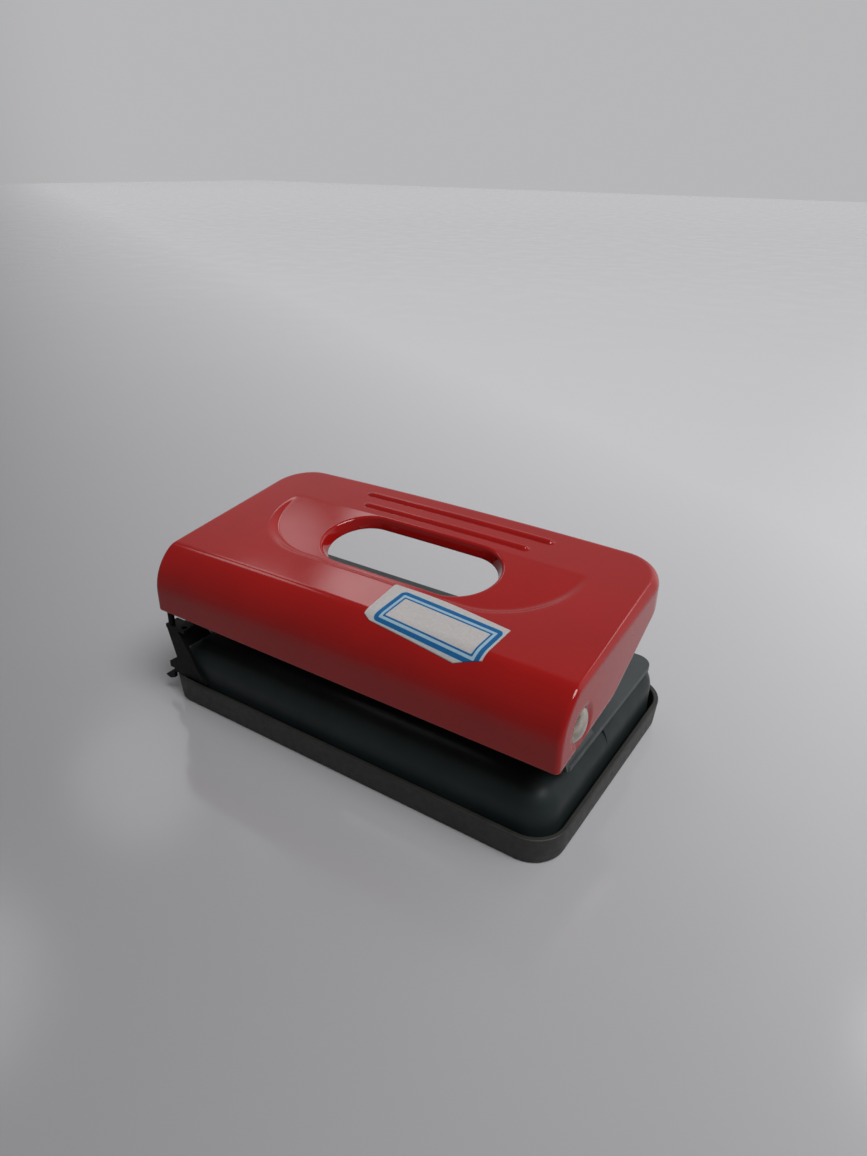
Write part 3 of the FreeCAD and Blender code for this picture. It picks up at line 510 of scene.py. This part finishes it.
def wall_rows(it, outline, path, inset, shares):
    """Rows on one side of the walls: shares of the way from just above their lower edge to the sheet's
    height, over a path that lies inset from the outline."""
    rim = top_height(it, path[:, 0], path[:, 1], inset)
    bottom = wall_bottom(it, outline[:, 1]) + EDGE_RISE * it.sizes.sheet
    return np.stack([
        np.stack([path[:, 0], path[:, 1], bottom + (rim - bottom) * share], axis=-1) for share in shares
    ])


def top_rows(it, outline, lip_start):
    """Rows from the outline to the lip: r (1 - cos a) inwards over the fold, with the rear fold's
    radius r, and evenly spaced beyond it."""
    reach = np.linalg.norm(lip_start[:, :2] - outline, axis=1)
    turn = np.linspace(0.0, math.pi / 2, FOLD_ROWS + 1)[:-1]
    fold = it.sizes.fold_rear * (1.0 - np.cos(turn))[:, None] / reach
    start = it.sizes.fold_rear / reach
    rest = start + (1.0 - start) * np.linspace(0.0, 1.0, TOP_ROWS)[:, None]
    shares = np.concatenate([fold, rest])[..., None]
    return over_plan(it, outline * (1.0 - shares) + lip_start[:, :2] * shares, 0.0)


def over_plan(it, plan, inset):
    """Places in plan with the height there of the sheet, or of a face inset from it."""
    heights = top_height(it, plan[..., 0], plan[..., 1], inset)
    return np.concatenate([plan, heights[..., None]], axis=-1)


def lip_rows(it, lift):
    """Rows down the lip and up its back: the hole's outline moved outwards and down by each point of
    the lip's section, and lifted to meet the top."""
    rows = []
    for aside, depth in lip_section(it.opening, it.sizes.sheet):
        ring = hole_path(it, aside)
        row = on_dish(it, ring[:, 0], ring[:, 1], -depth)
        row[:, 2] += lift
        rows.append(row)
    return np.stack(rows)


def edge_rows(it, outline, normals):
    """Rows round the walls' lower edge, from its inside to its outside."""
    sheet = it.sizes.sheet
    bottom = wall_bottom(it, outline[:, 1])
    rows = []
    for aside, lift_share in EDGE_ROWS:
        path = outline - normals * sheet * aside
        rows.append(np.stack([path[:, 0], path[:, 1], bottom + EDGE_RISE * sheet * lift_share], axis=-1))
    return np.stack(rows)


def press_dimples(it, side):
    """Presses the rivets' dimples into the walls: the full depth round the pivot, and a smooth step to
    nothing round the rim."""
    sizes = it.sizes
    off = np.hypot(side[..., 1] - it.pivot_y, side[..., 2] - it.pivot_z)
    rim = sizes.dimple_width / 2
    pressed = sizes.dimple * (1.0 - smooth_step((off - rim + DIMPLE_START) / DIMPLE_SLOPE))
    at_side = np.abs(side[..., 0]) > it.half_x - SIDE_SHEETS * sizes.sheet
    side[..., 0] -= np.sign(side[..., 0]) * pressed * at_side
    return side


def lever_grid(it):
    """The whole sheet as one closed grid. Its columns run round the outline. Its rows run up the
    outside of the walls, over the fold and the top to the hole, down the lip, back inside and down
    the walls, and round their lower edge."""
    sizes = it.sizes
    half = rounded_path(it.half_x, it.front, it.rear, sizes.fold_front, sizes.rear_corner, LEVER_COLUMNS)
    outline = mirrored(half)
    normals = path_normals(outline)
    inner = outline - normals * sizes.sheet
    outside = wall_rows(it, outline, outline, 0.0, np.linspace(0.0, 1.0, OUTSIDE_ROWS + 1)[:-1])
    inside = wall_rows(it, outline, inner, sizes.sheet, np.linspace(1.0, 0.0, INSIDE_ROWS + 1)[1:])

    hole = hole_path(it, lip_spread(it.opening))
    lip_start = on_dish(it, hole[:, 0], hole[:, 1], 0.0)
    top = top_rows(it, outline, lip_start)
    lip = lip_rows(it, top[-1, :, 2] - lip_start[:, 2])

    shares = np.linspace(1.0, 0.0, UNDER_ROWS + 1)[1:, None, None] ** UNDER_CROWDING
    under = over_plan(it, inner * (1.0 - shares) + lip[-1][:, :2] * shares, sizes.sheet)
    edge = edge_rows(it, outline, normals)
    points = np.concatenate([outside, top, lip, under, inside, edge])
    walls = np.zeros(len(points), bool)
    walls[:len(outside)] = True
    walls[-len(inside) - len(edge):] = True
    points[walls] = press_dimples(it, points[walls])
    return points


class PUNCH_OT_lever(bpy.types.Operator):
    """Builds the pressed steel lever with its lip, dish, ribs and dimples"""
    bl_idname = "punch.lever"
    bl_label = "Lever"

    def execute(self, context):
        it = lever_numbers()
        made = grid_object("lever_shell", lever_grid(it), wrap_rows=True, wrap_columns=True)
        dress(made, "lever", "lever_enamel", lever_enamel(), "lever")
        return {"FINISHED"}


# The sticker's grid, and how far its underside stands off the enamel as a share of its thickness
LABEL_ROWS, LABEL_COLUMNS = 71, 121
LABEL_STAND_OFF = 0.1


def label_grid(it, sizes):
    """The sticker's top and underside as grids between its low edge, ahead of the crease, and its back
    edge, at the sheet's height, and its flat places: x, and the way along the top from the crease,
    which is the sum of the steps between rows."""
    share = np.linspace(0.0, 1.0, LABEL_ROWS)[:, None]
    low_x = np.linspace(sizes.left, sizes.right - sizes.right_inset, LABEL_COLUMNS)
    high_x = np.linspace(sizes.left, sizes.right, LABEL_COLUMNS)
    corners = [sizes.left, sizes.left + sizes.foot_inset, sizes.right - sizes.low_inset, low_x[-1]]
    drops = [-sizes.left_ahead, -sizes.foot_ahead, -sizes.low_ahead, -sizes.right_ahead]
    low_y = np.interp(low_x, corners, drops)
    high_y = np.interp(high_x, [sizes.left, sizes.right], [sizes.left_back, sizes.right_back])
    x = low_x * (1.0 - share) + high_x * share
    y = it.crease[0] + low_y * (1.0 - share) + high_y * share
    top = np.stack([x, y, top_height(it, x, y, -sizes.thick)], axis=-1)
    under = np.stack([x, y, top_height(it, x, y, -LABEL_STAND_OFF * sizes.thick)], axis=-1)
    steps = np.linalg.norm(np.diff(top[..., 1:], axis=0), axis=-1)
    run = np.concatenate([np.zeros((1, LABEL_COLUMNS)), np.cumsum(steps, axis=0)])
    at_crease = np.array([np.interp(it.crease[0], y[:, k], run[:, k]) for k in range(LABEL_COLUMNS)])
    return top, under, np.stack([x, run - at_crease], axis=-1)


def border_distance(sizes, flat):
    """How far a place on the flat sticker lies outside the printed border, a turned rectangle with
    rounded corners: the distance to the smaller rectangle of the corners' centres, less their radius."""
    cos_t, sin_t = math.cos(sizes.print_turn), math.sin(sizes.print_turn)
    off = flat - np.array([sizes.print_x, sizes.print_run])
    along = np.abs(off @ np.array([cos_t, sin_t])) - sizes.print_long / 2 + sizes.print_corner
    across = np.abs(off @ np.array([-sin_t, cos_t])) - sizes.print_wide / 2 + sizes.print_corner
    outside = np.hypot(np.clip(along, 0.0, None), np.clip(across, 0.0, None))
    return outside + np.minimum(np.maximum(along, across), 0.0) - sizes.print_corner


class PUNCH_OT_label(bpy.types.Operator):
    """Builds the paper sticker with its printed border"""
    bl_idname = "punch.label"
    bl_label = "Label"

    def execute(self, context):
        it = lever_numbers()
        sizes = context.scene.punch_label
        top, under, flat = label_grid(it, sizes)
        points = np.concatenate([top, under[::-1]])
        made = grid_object("paper_sticker", points, wrap_rows=True)
        flat = np.concatenate([flat, flat[::-1]]).reshape(-1, 2)
        border = border_distance(sizes, flat)
        mark = made.data.attributes.new("border", "FLOAT", "POINT")
        mark.data.foreach_set("value", border.astype(np.float32))
        dress(made, "lever", "label_paper", sticker_paper(), "price_label")
        return {"FINISHED"}


# A row gives a piece's name, its CAD node, its body, its slot, its finish and how far its edges are
# eased, in millimetres. The paired rows' names lack the side that the piece stands on.
EASED = (
    ("base_shell", "base_plate", "base", "base_enamel", "base_enamel", 0.15),
    ("pin_frame", "guide_frame", "base", "frame_enamel", "frame_enamel", 0.2),
    ("tray_shell", "chip_tray", "tray", "tray_plastic", "tray_plastic", 0.25),
    ("guide_body", "paper_guide", "guide", "guide_plastic", "guide_plastic", 0.12),
    ("bar_rail", "guide_rail", "base", "plain_steel", "plated_steel", 0.15),
    ("leaf_spring", "guide_spring", "base", "spring_steel", "spring_steel", 0.05),
    ("bracket_rivet_set", "bracket_rivets", "base", "plain_steel", "plated_steel", 0.0),
    ("frame_rivet_set", "frame_rivets", "base", "plain_steel", "plated_steel", 0.0),
)
PAIRED = (
    ("bracket", "pin_bracket", "base", "plain_steel", "plated_steel", 0.15),
    ("pin", "punch_pin", "pin", "pin_steel", "ground_steel", 0.0),
    ("clip", "pin_clip", "pin", "spring_steel", "spring_steel", 0.08),
    ("rivet", "pivot_rivet", "base", "rivet_steel", "rivet_steel", 0.0),
    ("washer", "pivot_washer", "base", "plain_steel", "plated_steel", 0.08),
)


class PUNCH_OT_plain_parts(bpy.types.Operator):
    """Builds the pieces whose shape is the CAD node's own"""
    bl_idname = "punch.plain_parts"
    bl_label = "Plain parts"

    def execute(self, context):
        finishes = {
            "base_enamel": base_enamel(),
            "frame_enamel": frame_enamel(),
            "tray_plastic": tray_plastic(),
            "guide_plastic": guide_plastic(),
            "plated_steel": steel("plated_steel", level=0.42, roughness=0.5),
            "spring_steel": steel("spring_steel", level=0.3, roughness=0.35),
            "ground_steel": steel("ground_steel", level=0.5, roughness=0.22),
            "rivet_steel": rivet_steel(),
        }
        for name, node, body, slot, finish, ease in EASED:
            dress(eased_copy(name, node, ease * MM), body, slot, finishes[finish], node)
        for name, node, body, slot, finish, ease in PAIRED:
            for side in ("left", "right"):
                rides = body + "_" + side if body == "pin" else body
                made = eased_copy(name + "_" + side + "_piece", node + "_" + side, ease * MM)
                dress(made, rides, slot, finishes[finish], node + "_" + side)
        return {"FINISHED"}


# A spring's wire and the rise of its close turn at each end, in metres, then its turns and its points
# along and round the wire
WIRE_RADIUS = 0.45 * MM
END_RISE = 1.36 * MM
TURNS = 6.0
WIRE_POINTS, WIRE_SIDES = 217, 12


class PUNCH_OT_springs(bpy.types.Operator):
    """Winds the two springs round the pins"""
    bl_idname = "punch.springs"
    bl_label = "Springs"

    def execute(self, context):
        material = steel("wire", level=0.33, roughness=0.3)
        for side in ("left", "right"):
            node = "pin_spring_" + side
            low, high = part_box(node)
            made = grid_object("spring_" + side, spring_grid(low, high), wrap_columns=True, caps=True)
            dress(made, "base", "spring_steel", material, node)
            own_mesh(made)
        return {"FINISHED"}


def spring_grid(low, high):
    """A round wire along a helix with a close turn at each end. Round the wire, a point lies its radius
    times cos a outwards from the helix, and times sin a square to that."""
    wire = WIRE_RADIUS
    radius = (high.x - low.x) / 2 - wire
    middle = (low + high) / 2
    turns = np.linspace(0.0, TURNS, WIRE_POINTS)
    bottom, top = low.z + wire, high.z - wire
    knots = [0.0, 1.0, TURNS - 1.0, TURNS]
    heights = np.interp(turns, knots, [bottom, bottom + END_RISE, top - END_RISE, top])
    turned_by = 2.0 * math.pi * turns
    out = np.stack([np.cos(turned_by), np.sin(turned_by), np.zeros_like(turns)], axis=-1)
    line = radius * out
    line[:, 0] += middle.x
    line[:, 1] += middle.y
    line[:, 2] = heights
    along = np.gradient(line, axis=0)
    along /= np.linalg.norm(along, axis=1, keepdims=True)
    over = np.cross(along, out)
    round_wire = np.linspace(0.0, 2.0 * math.pi, WIRE_SIDES + 1)[:-1]
    return line[:, None] + wire * (np.cos(round_wire)[None, :, None] * out[:, None]
                                   + np.sin(round_wire)[None, :, None] * over[:, None])


def add(tree, kind, inputs=(), **settings_of_node):
    """A shader node with its settings, and its inputs set to values or linked to other nodes' outputs."""
    made = tree.nodes.new(kind)
    for key, value in settings_of_node.items():
        setattr(made, key, value)
    for key, value in dict(inputs).items():
        if isinstance(value, bpy.types.NodeSocket):
            tree.links.new(value, made.inputs[key])
        else:
            made.inputs[key].default_value = value
    return made


def blank_material(name):
    """A material with one principled shader, its tree and its object coordinates."""
    material = bpy.data.materials.new(name)
    material.use_nodes = True
    tree = material.node_tree
    tree.nodes.clear()
    shader = add(tree, "ShaderNodeBsdfPrincipled")
    add(tree, "ShaderNodeOutputMaterial", {"Surface": shader.outputs["BSDF"]})
    place = add(tree, "ShaderNodeTexCoord").outputs["Object"]
    return material, tree, shader, place


def noise(tree, place, scale, detail=3.0):
    """Soft noise with this many spots to the metre."""
    inputs = {"Vector": place, "Scale": scale, "Detail": detail, "Roughness": 0.5}
    return add(tree, "ShaderNodeTexNoise", inputs).outputs["Fac"]


def span(tree, value, low, high, from_low=0.35, from_high=0.65):
    """A value's middle range stretched between two limits."""
    inputs = {"Value": value, "From Min": from_low, "From Max": from_high, "To Min": low, "To Max": high}
    return add(tree, "ShaderNodeMapRange", inputs).outputs["Result"]


def mix_colour(tree, share, first, second):
    """A colour between two, nearer the second as the share grows."""
    inputs = {0: share, 6: (*first, 1.0), 7: (*second, 1.0)}
    return add(tree, "ShaderNodeMix", inputs, data_type="RGBA").outputs[2]


def bump(tree, shader, height, distance, strength):
    """Bumps a shader's surface by a height, whose full range stands for a distance in metres."""
    made = add(tree, "ShaderNodeBump", {"Height": height, "Distance": distance, "Strength": strength})
    tree.links.new(made.outputs["Normal"], shader.inputs["Normal"])


def shade(colour, factor):
    """A colour made darker or lighter by a factor, no channel over 1."""
    return tuple(min(1.0, channel * factor) for channel in colour)


def vary(tree, shader, colour, marks, gloss_marks, tones, roughness):
    """Varies a shader's colour between two tones with some marks, and its roughness between two limits
    with others."""
    share = span(tree, marks, 0.0, 1.0)
    mixed = mix_colour(tree, share, shade(colour, tones[0]), shade(colour, tones[1]))
    tree.links.new(mixed, shader.inputs["Base Color"])
    tree.links.new(span(tree, gloss_marks, *roughness), shader.inputs["Roughness"])


def coat(name, colour, clouds, tones, smears, roughness, grain, specular=0.5):
    """An enamel or a plastic in the finish's colour of this name, with clouds in it and smears in its
    gloss, both in spots to the metre, and a grain: its spots, detail, height in metres and strength."""
    material, tree, shader, place = blank_material(name)
    colour = getattr(bpy.context.scene.punch_finish, colour)
    vary(tree, shader, colour, noise(tree, place, clouds), noise(tree, place, smears), tones, roughness)
    shader.inputs["Specular IOR Level"].default_value = specular
    spots, detail, height, strength = grain
    bump(tree, shader, noise(tree, place, spots, detail), height, strength)
    return material


def lever_enamel():
    """Glossy red enamel: a slight cloudiness, a faint orange peel and a gloss that varies a little."""
    return coat("lever_enamel", "lever_red", clouds=55.0, tones=(0.96, 1.04), smears=160.0,
                roughness=(0.07, 0.10), grain=(420.0, 1.0, 0.000006, 0.5), specular=0.45)


def base_enamel():
    """Satin dark grey enamel over drawn steel."""
    return coat("base_enamel", "base_grey", clouds=70.0, tones=(0.88, 1.12), smears=240.0,
                roughness=(0.38, 0.46), grain=(900.0, 1.0, 0.000008, 0.5), specular=0.18)


def frame_enamel():
    """The same enamel in a lighter, flatter grey."""
    return coat("frame_enamel", "frame_grey", clouds=90.0, tones=(0.9, 1.1), smears=300.0,
                roughness=(0.4, 0.5), grain=(2200.0, 1.0, 0.000012, 0.6))


def tray_plastic():
    """Soft black plastic with a fine moulded grain."""
    return coat("tray_plastic", "tray_black", clouds=120.0, tones=(0.85, 1.2), smears=600.0,
                roughness=(0.5, 0.62), grain=(3200.0, 2.0, 0.00003, 0.8))


def guide_plastic():
    """Black moulded plastic with a low sheen."""
    return coat("guide_plastic", "guide_black", clouds=200.0, tones=(0.9, 1.15), smears=800.0,
                roughness=(0.45, 0.55), grain=(2600.0, 2.0, 0.00002, 0.6), specular=0.13)


# The level of the plain steel, which a steel's own level is counted against, and how the drawing
# marks are stretched
PLAIN_LEVEL = 0.42
DRAWN_OUT = (0.08, 1.0, 1.0)


def steel(name, level, roughness):
    """Plain steel with faint drawing marks along X in its colour, gloss and bumps."""
    tone = shade(bpy.context.scene.punch_finish.steel, level / PLAIN_LEVEL)
    material, tree, shader, place = blank_material(name)
    drawn = add(tree, "ShaderNodeMapping", {"Vector": place, "Scale": DRAWN_OUT}).outputs["Vector"]
    marks = noise(tree, drawn, scale=3000.0, detail=2.0)
    limits = (roughness - 0.05, roughness + 0.08)
    vary(tree, shader, tone, marks, marks, tones=(0.85, 1.1), roughness=limits)
    shader.inputs["Metallic"].default_value = 1.0
    bump(tree, shader, marks, distance=0.000006, strength=0.5)
    return material


def rivet_steel():
    """Tumbled nickel plating with patches of warm tarnish."""
    tone = bpy.context.scene.punch_finish.rivet_steel
    material, tree, shader, place = blank_material("rivet_steel")
    patches = noise(tree, place, scale=700.0, detail=4.0)
    vary(tree, shader, tone, patches, patches, tones=(0.75, 1.1), roughness=(0.09, 0.17))
    shader.inputs["Metallic"].default_value = 1.0
    bump(tree, shader, noise(tree, place, scale=2500.0, detail=2.0), distance=0.000008, strength=0.6)
    return material


# Where each colour across the printed border starts, and the range over which they are read, in
# millimetres outside its outer edge, and the factors of the paper's channels beside the thick line
BORDER = ((-3.0, "paper"), (-2.25, "blue"), (-1.8, "pale"), (-1.1, "blue"), (0.0, "pale"), (0.15, "paper"))
BORDER_FROM, BORDER_TO = -3.0, 1.0
PALE_TINT = (0.62, 1.0, 1.25)


def sticker_paper():
    """White paper with a thick printed line round its border, tinted beside it, and a thin one inside."""
    finish = bpy.context.scene.punch_finish
    material, tree, shader, place = blank_material("sticker_paper")
    border = add(tree, "ShaderNodeAttribute", attribute_name="border").outputs["Fac"]
    lines = add(tree, "ShaderNodeValToRGB")
    inputs = {"Value": border, "From Min": BORDER_FROM * MM, "From Max": BORDER_TO * MM}
    tree.links.new(add(tree, "ShaderNodeMapRange", inputs).outputs["Result"], lines.inputs["Fac"])
    pale = [channel * factor for channel, factor in zip(finish.paper, PALE_TINT)]
    colours = {"paper": finish.paper, "blue": finish.paper_blue, "pale": pale}
    ramp = lines.color_ramp
    ramp.interpolation = "CONSTANT"
    while len(ramp.elements) < len(BORDER):
        ramp.elements.new(0.5)
    for element, (start, colour) in zip(ramp.elements, BORDER):
        element.position = (start - BORDER_FROM) / (BORDER_TO - BORDER_FROM)
        element.color = (*colours[colour], 1.0)
    fibre = span(tree, noise(tree, place, scale=1600.0, detail=4.0), low=0.94, high=1.03)
    inputs = {0: 1.0, 6: lines.outputs["Color"], 7: fibre}
    toned = add(tree, "ShaderNodeMix", inputs, data_type="RGBA", blend_type="MULTIPLY")
    tree.links.new(toned.outputs[2], shader.inputs["Base Color"])
    shader.inputs["Roughness"].default_value = 0.6
    shader.inputs["Specular IOR Level"].default_value = 0.3
    bump(tree, shader, noise(tree, place, scale=1200.0), distance=0.00002, strength=0.5)
    return material


# The camera that matches the photograph: its angles in degrees, its distance back and shifts right and
# up in millimetres, its focal length and picture height in pixels, and its sensor in millimetres
CAMERA_AZIMUTH, CAMERA_ELEVATION, CAMERA_ROLL = 33.093, 27.189, 0.936
CAMERA_BACK, CAMERA_RIGHT, CAMERA_UP = 229.148, 5.090, 34.323
FOCAL_PIXELS, PICTURE_PIXELS = 815.254, 1156.0
SENSOR_WIDTH = 36.0
# The nearest and farthest that the camera sees, and the floor's reach each way, in metres
SEES_FROM, SEES_TO = 0.01, 20.0
FLOOR_REACH = 4.0
FLOOR_POINTS = 25
# The way towards the key light, its spread and its strength
KEY_DIRECTION = (0.44, -0.10, 0.89)
KEY_SPREAD = math.radians(32.0)
KEY_POWER = 2.25


class PUNCH_OT_stage(bpy.types.Operator):
    """Sets the pale floor, the soft lights, the key light and the camera at the photograph's angle"""
    bl_idname = "punch.stage"
    bl_label = "Stage"

    def execute(self, context):
        scene = context.scene
        scene.view_settings.view_transform = "Standard"
        floor = grid_object("floor", stage_grid())
        floor.data.materials.append(table_top())
        world = bpy.data.worlds.new("studio")
        world.use_nodes = True
        scene.world = world
        light_world(world.node_tree)
        place_key()
        camera = bpy.data.cameras.new("camera")
        camera.sensor_width = SENSOR_WIDTH
        camera.lens = FOCAL_PIXELS / PICTURE_PIXELS * camera.sensor_width
        camera.clip_start = SEES_FROM
        camera.clip_end = SEES_TO
        made = linked("camera", camera)
        eye, turn = camera_place()
        made.matrix_world = Matrix.Translation(eye) @ turn
        scene.camera = made
        return {"FINISHED"}


def turned(right, up, back):
    """The turn whose X, Y and Z axes point these ways."""
    return Matrix(np.stack([right, up, back], axis=1).tolist()).to_4x4()


def camera_place():
    """The eye and its turn, from the angles round the object and the shifts that centre the view. The
    axes to the right and up are turned by the roll."""
    azimuth, elevation, roll = (math.radians(v) for v in (CAMERA_AZIMUTH, CAMERA_ELEVATION, CAMERA_ROLL))
    back = np.array([math.sin(azimuth) * math.cos(elevation), -math.cos(azimuth) * math.cos(elevation),
                     math.sin(elevation)])
    right = np.array([math.cos(azimuth), math.sin(azimuth), 0.0])
    up = np.cross(back, right)
    x_axis = math.cos(roll) * right + math.sin(roll) * up
    y_axis = -math.sin(roll) * right + math.cos(roll) * up
    eye = (back * CAMERA_BACK + x_axis * CAMERA_RIGHT + y_axis * CAMERA_UP) * MM
    return eye.tolist(), turned(x_axis, y_axis, back)


def stage_grid():
    """A flat square floor, far larger than the view."""
    line = np.linspace(-FLOOR_REACH, FLOOR_REACH, FLOOR_POINTS)
    x, y = np.meshgrid(line, line)
    return np.stack([x, y, np.zeros_like(x)], axis=-1)


# The way in which the floor's painted shade fades to its paler colour, and from where to where along it, in
# metres
PALER_TOWARDS = (0.5, 0.87, 0.0)
PALER_FROM, PALER_TO = -0.20, 0.20


def table_top():
    """Smooth white laminate with a soft gloss, its colour painted darker towards the front left as painted
    shade.
    """
    finish = bpy.context.scene.punch_finish
    material, tree, shader, place = blank_material("table_top")
    across = add(tree, "ShaderNodeVectorMath", {0: place, 1: PALER_TOWARDS}, operation="DOT_PRODUCT")
    share = span(tree, across.outputs["Value"], 0.0, 1.0, PALER_FROM, PALER_TO)
    tree.links.new(mix_colour(tree, share, finish.table_near, finish.table_far), shader.inputs["Base Color"])
    smears = noise(tree, place, scale=30.0)
    tree.links.new(span(tree, smears, low=0.12, high=0.15), shader.inputs["Roughness"])
    return material


def unit(azimuth, elevation):
    """The direction at an azimuth, counted from +Y towards +X, and an elevation, both in degrees."""
    a, e = math.radians(azimuth), math.radians(elevation)
    return math.sin(a) * math.cos(e), math.cos(a) * math.cos(e), math.sin(e)


# A soft light's name, azimuth, elevation, outer and inner angle in degrees, and level
SOFT_LIGHTS = (
    ("pale wall", -20.0, 5.0, 56.0, 32.0, 0.34),
    ("window", -46.0, 40.3, 5.0, 1.0, 2.3),
    ("far window", -57.5, 38.5, 5.5, 2.0, 1.4),
    ("small lamp", -76.0, 46.0, 7.0, 3.0, 2.0),
    ("bright side", 32.0, 27.0, 42.0, 16.0, 0.6),
    ("tube", 12.0, 47.5, 5.0, 2.0, 3.0),
)
ROOM_LEVEL = 0.14
ROOM_COLOUR = (0.98, 0.98, 1.0, 1.0)


def light_world(tree):
    """A dim room with soft lights. Each is a round patch of the sky, full inside its inner angle from
    its direction and gone outside its outer angle, and their levels are added to the room's own."""
    tree.nodes.clear()
    direction = add(tree, "ShaderNodeTexCoord").outputs["Generated"]
    level = ROOM_LEVEL
    for label, azimuth, elevation, outer, inner, strength in SOFT_LIGHTS:
        towards = unit(azimuth, elevation)
        near = add(tree, "ShaderNodeVectorMath", {0: direction, 1: towards}, operation="DOT_PRODUCT")
        patch = add(tree, "ShaderNodeMapRange", {
            "Value": near.outputs["Value"], "From Min": math.cos(math.radians(outer)),
            "From Max": math.cos(math.radians(inner)), "To Min": 0.0, "To Max": strength,
        }, interpolation_type="SMOOTHSTEP", label=label)
        level = add(tree, "ShaderNodeMath", {0: patch.outputs["Result"], 1: level}).outputs["Value"]
    background = add(tree, "ShaderNodeBackground", {"Color": ROOM_COLOUR, "Strength": level})
    add(tree, "ShaderNodeOutputWorld", {"Surface": background.outputs["Background"]})


def place_key():
    """A broad soft key light from one direction, as even near the object as far from it."""
    lamp = bpy.data.lights.new("key", "SUN")
    lamp.angle = KEY_SPREAD
    lamp.energy = KEY_POWER
    back = np.array(KEY_DIRECTION) / np.linalg.norm(KEY_DIRECTION)
    right = np.cross((0.0, 0.0, 1.0), back)
    right = right / np.linalg.norm(right)
    linked("key", lamp).matrix_world = turned(right, np.cross(back, right), back)


class VIEW3D_PT_desk_punch(bpy.types.Panel):
    """Lists the steps that dress the punch"""
    bl_label = "Desk Punch"
    bl_idname = "VIEW3D_PT_desk_punch"
    bl_space_type = "VIEW_3D"
    bl_region_type = "UI"
    bl_category = "Desk Punch"

    def draw(self, context):
        for step in STEPS:
            self.layout.operator(step.bl_idname)


GROUPS = {
    "punch_lever": LeverSizes,
    "punch_opening": OpeningSizes,
    "punch_label": LabelSizes,
    "punch_finish": Finishes,
}
STEPS = (PUNCH_OT_stage, PUNCH_OT_lever, PUNCH_OT_label, PUNCH_OT_plain_parts, PUNCH_OT_springs)


def register():
    """Registers the settings, then the steps, then the panel that lists them."""
    for group in GROUPS.values():
        bpy.utils.register_class(group)
    for name, group in GROUPS.items():
        setattr(bpy.types.Scene, name, PointerProperty(type=group))
    for step in STEPS:
        bpy.utils.register_class(step)
    bpy.utils.register_class(VIEW3D_PT_desk_punch)


def unregister():
    """Takes away what register adds, in the reverse order."""
    bpy.utils.unregister_class(VIEW3D_PT_desk_punch)
    for step in reversed(STEPS):
        bpy.utils.unregister_class(step)
    for name in GROUPS:
        delattr(bpy.types.Scene, name)
    for group in reversed(list(GROUPS.values())):
        bpy.utils.unregister_class(group)


def main():
    """Dresses the punch step by step."""
    register()
    bpy.ops.punch.stage()
    bpy.ops.punch.lever()
    bpy.ops.punch.label()
    bpy.ops.punch.plain_parts()
    bpy.ops.punch.springs()


if __name__ == "__main__":
    main()
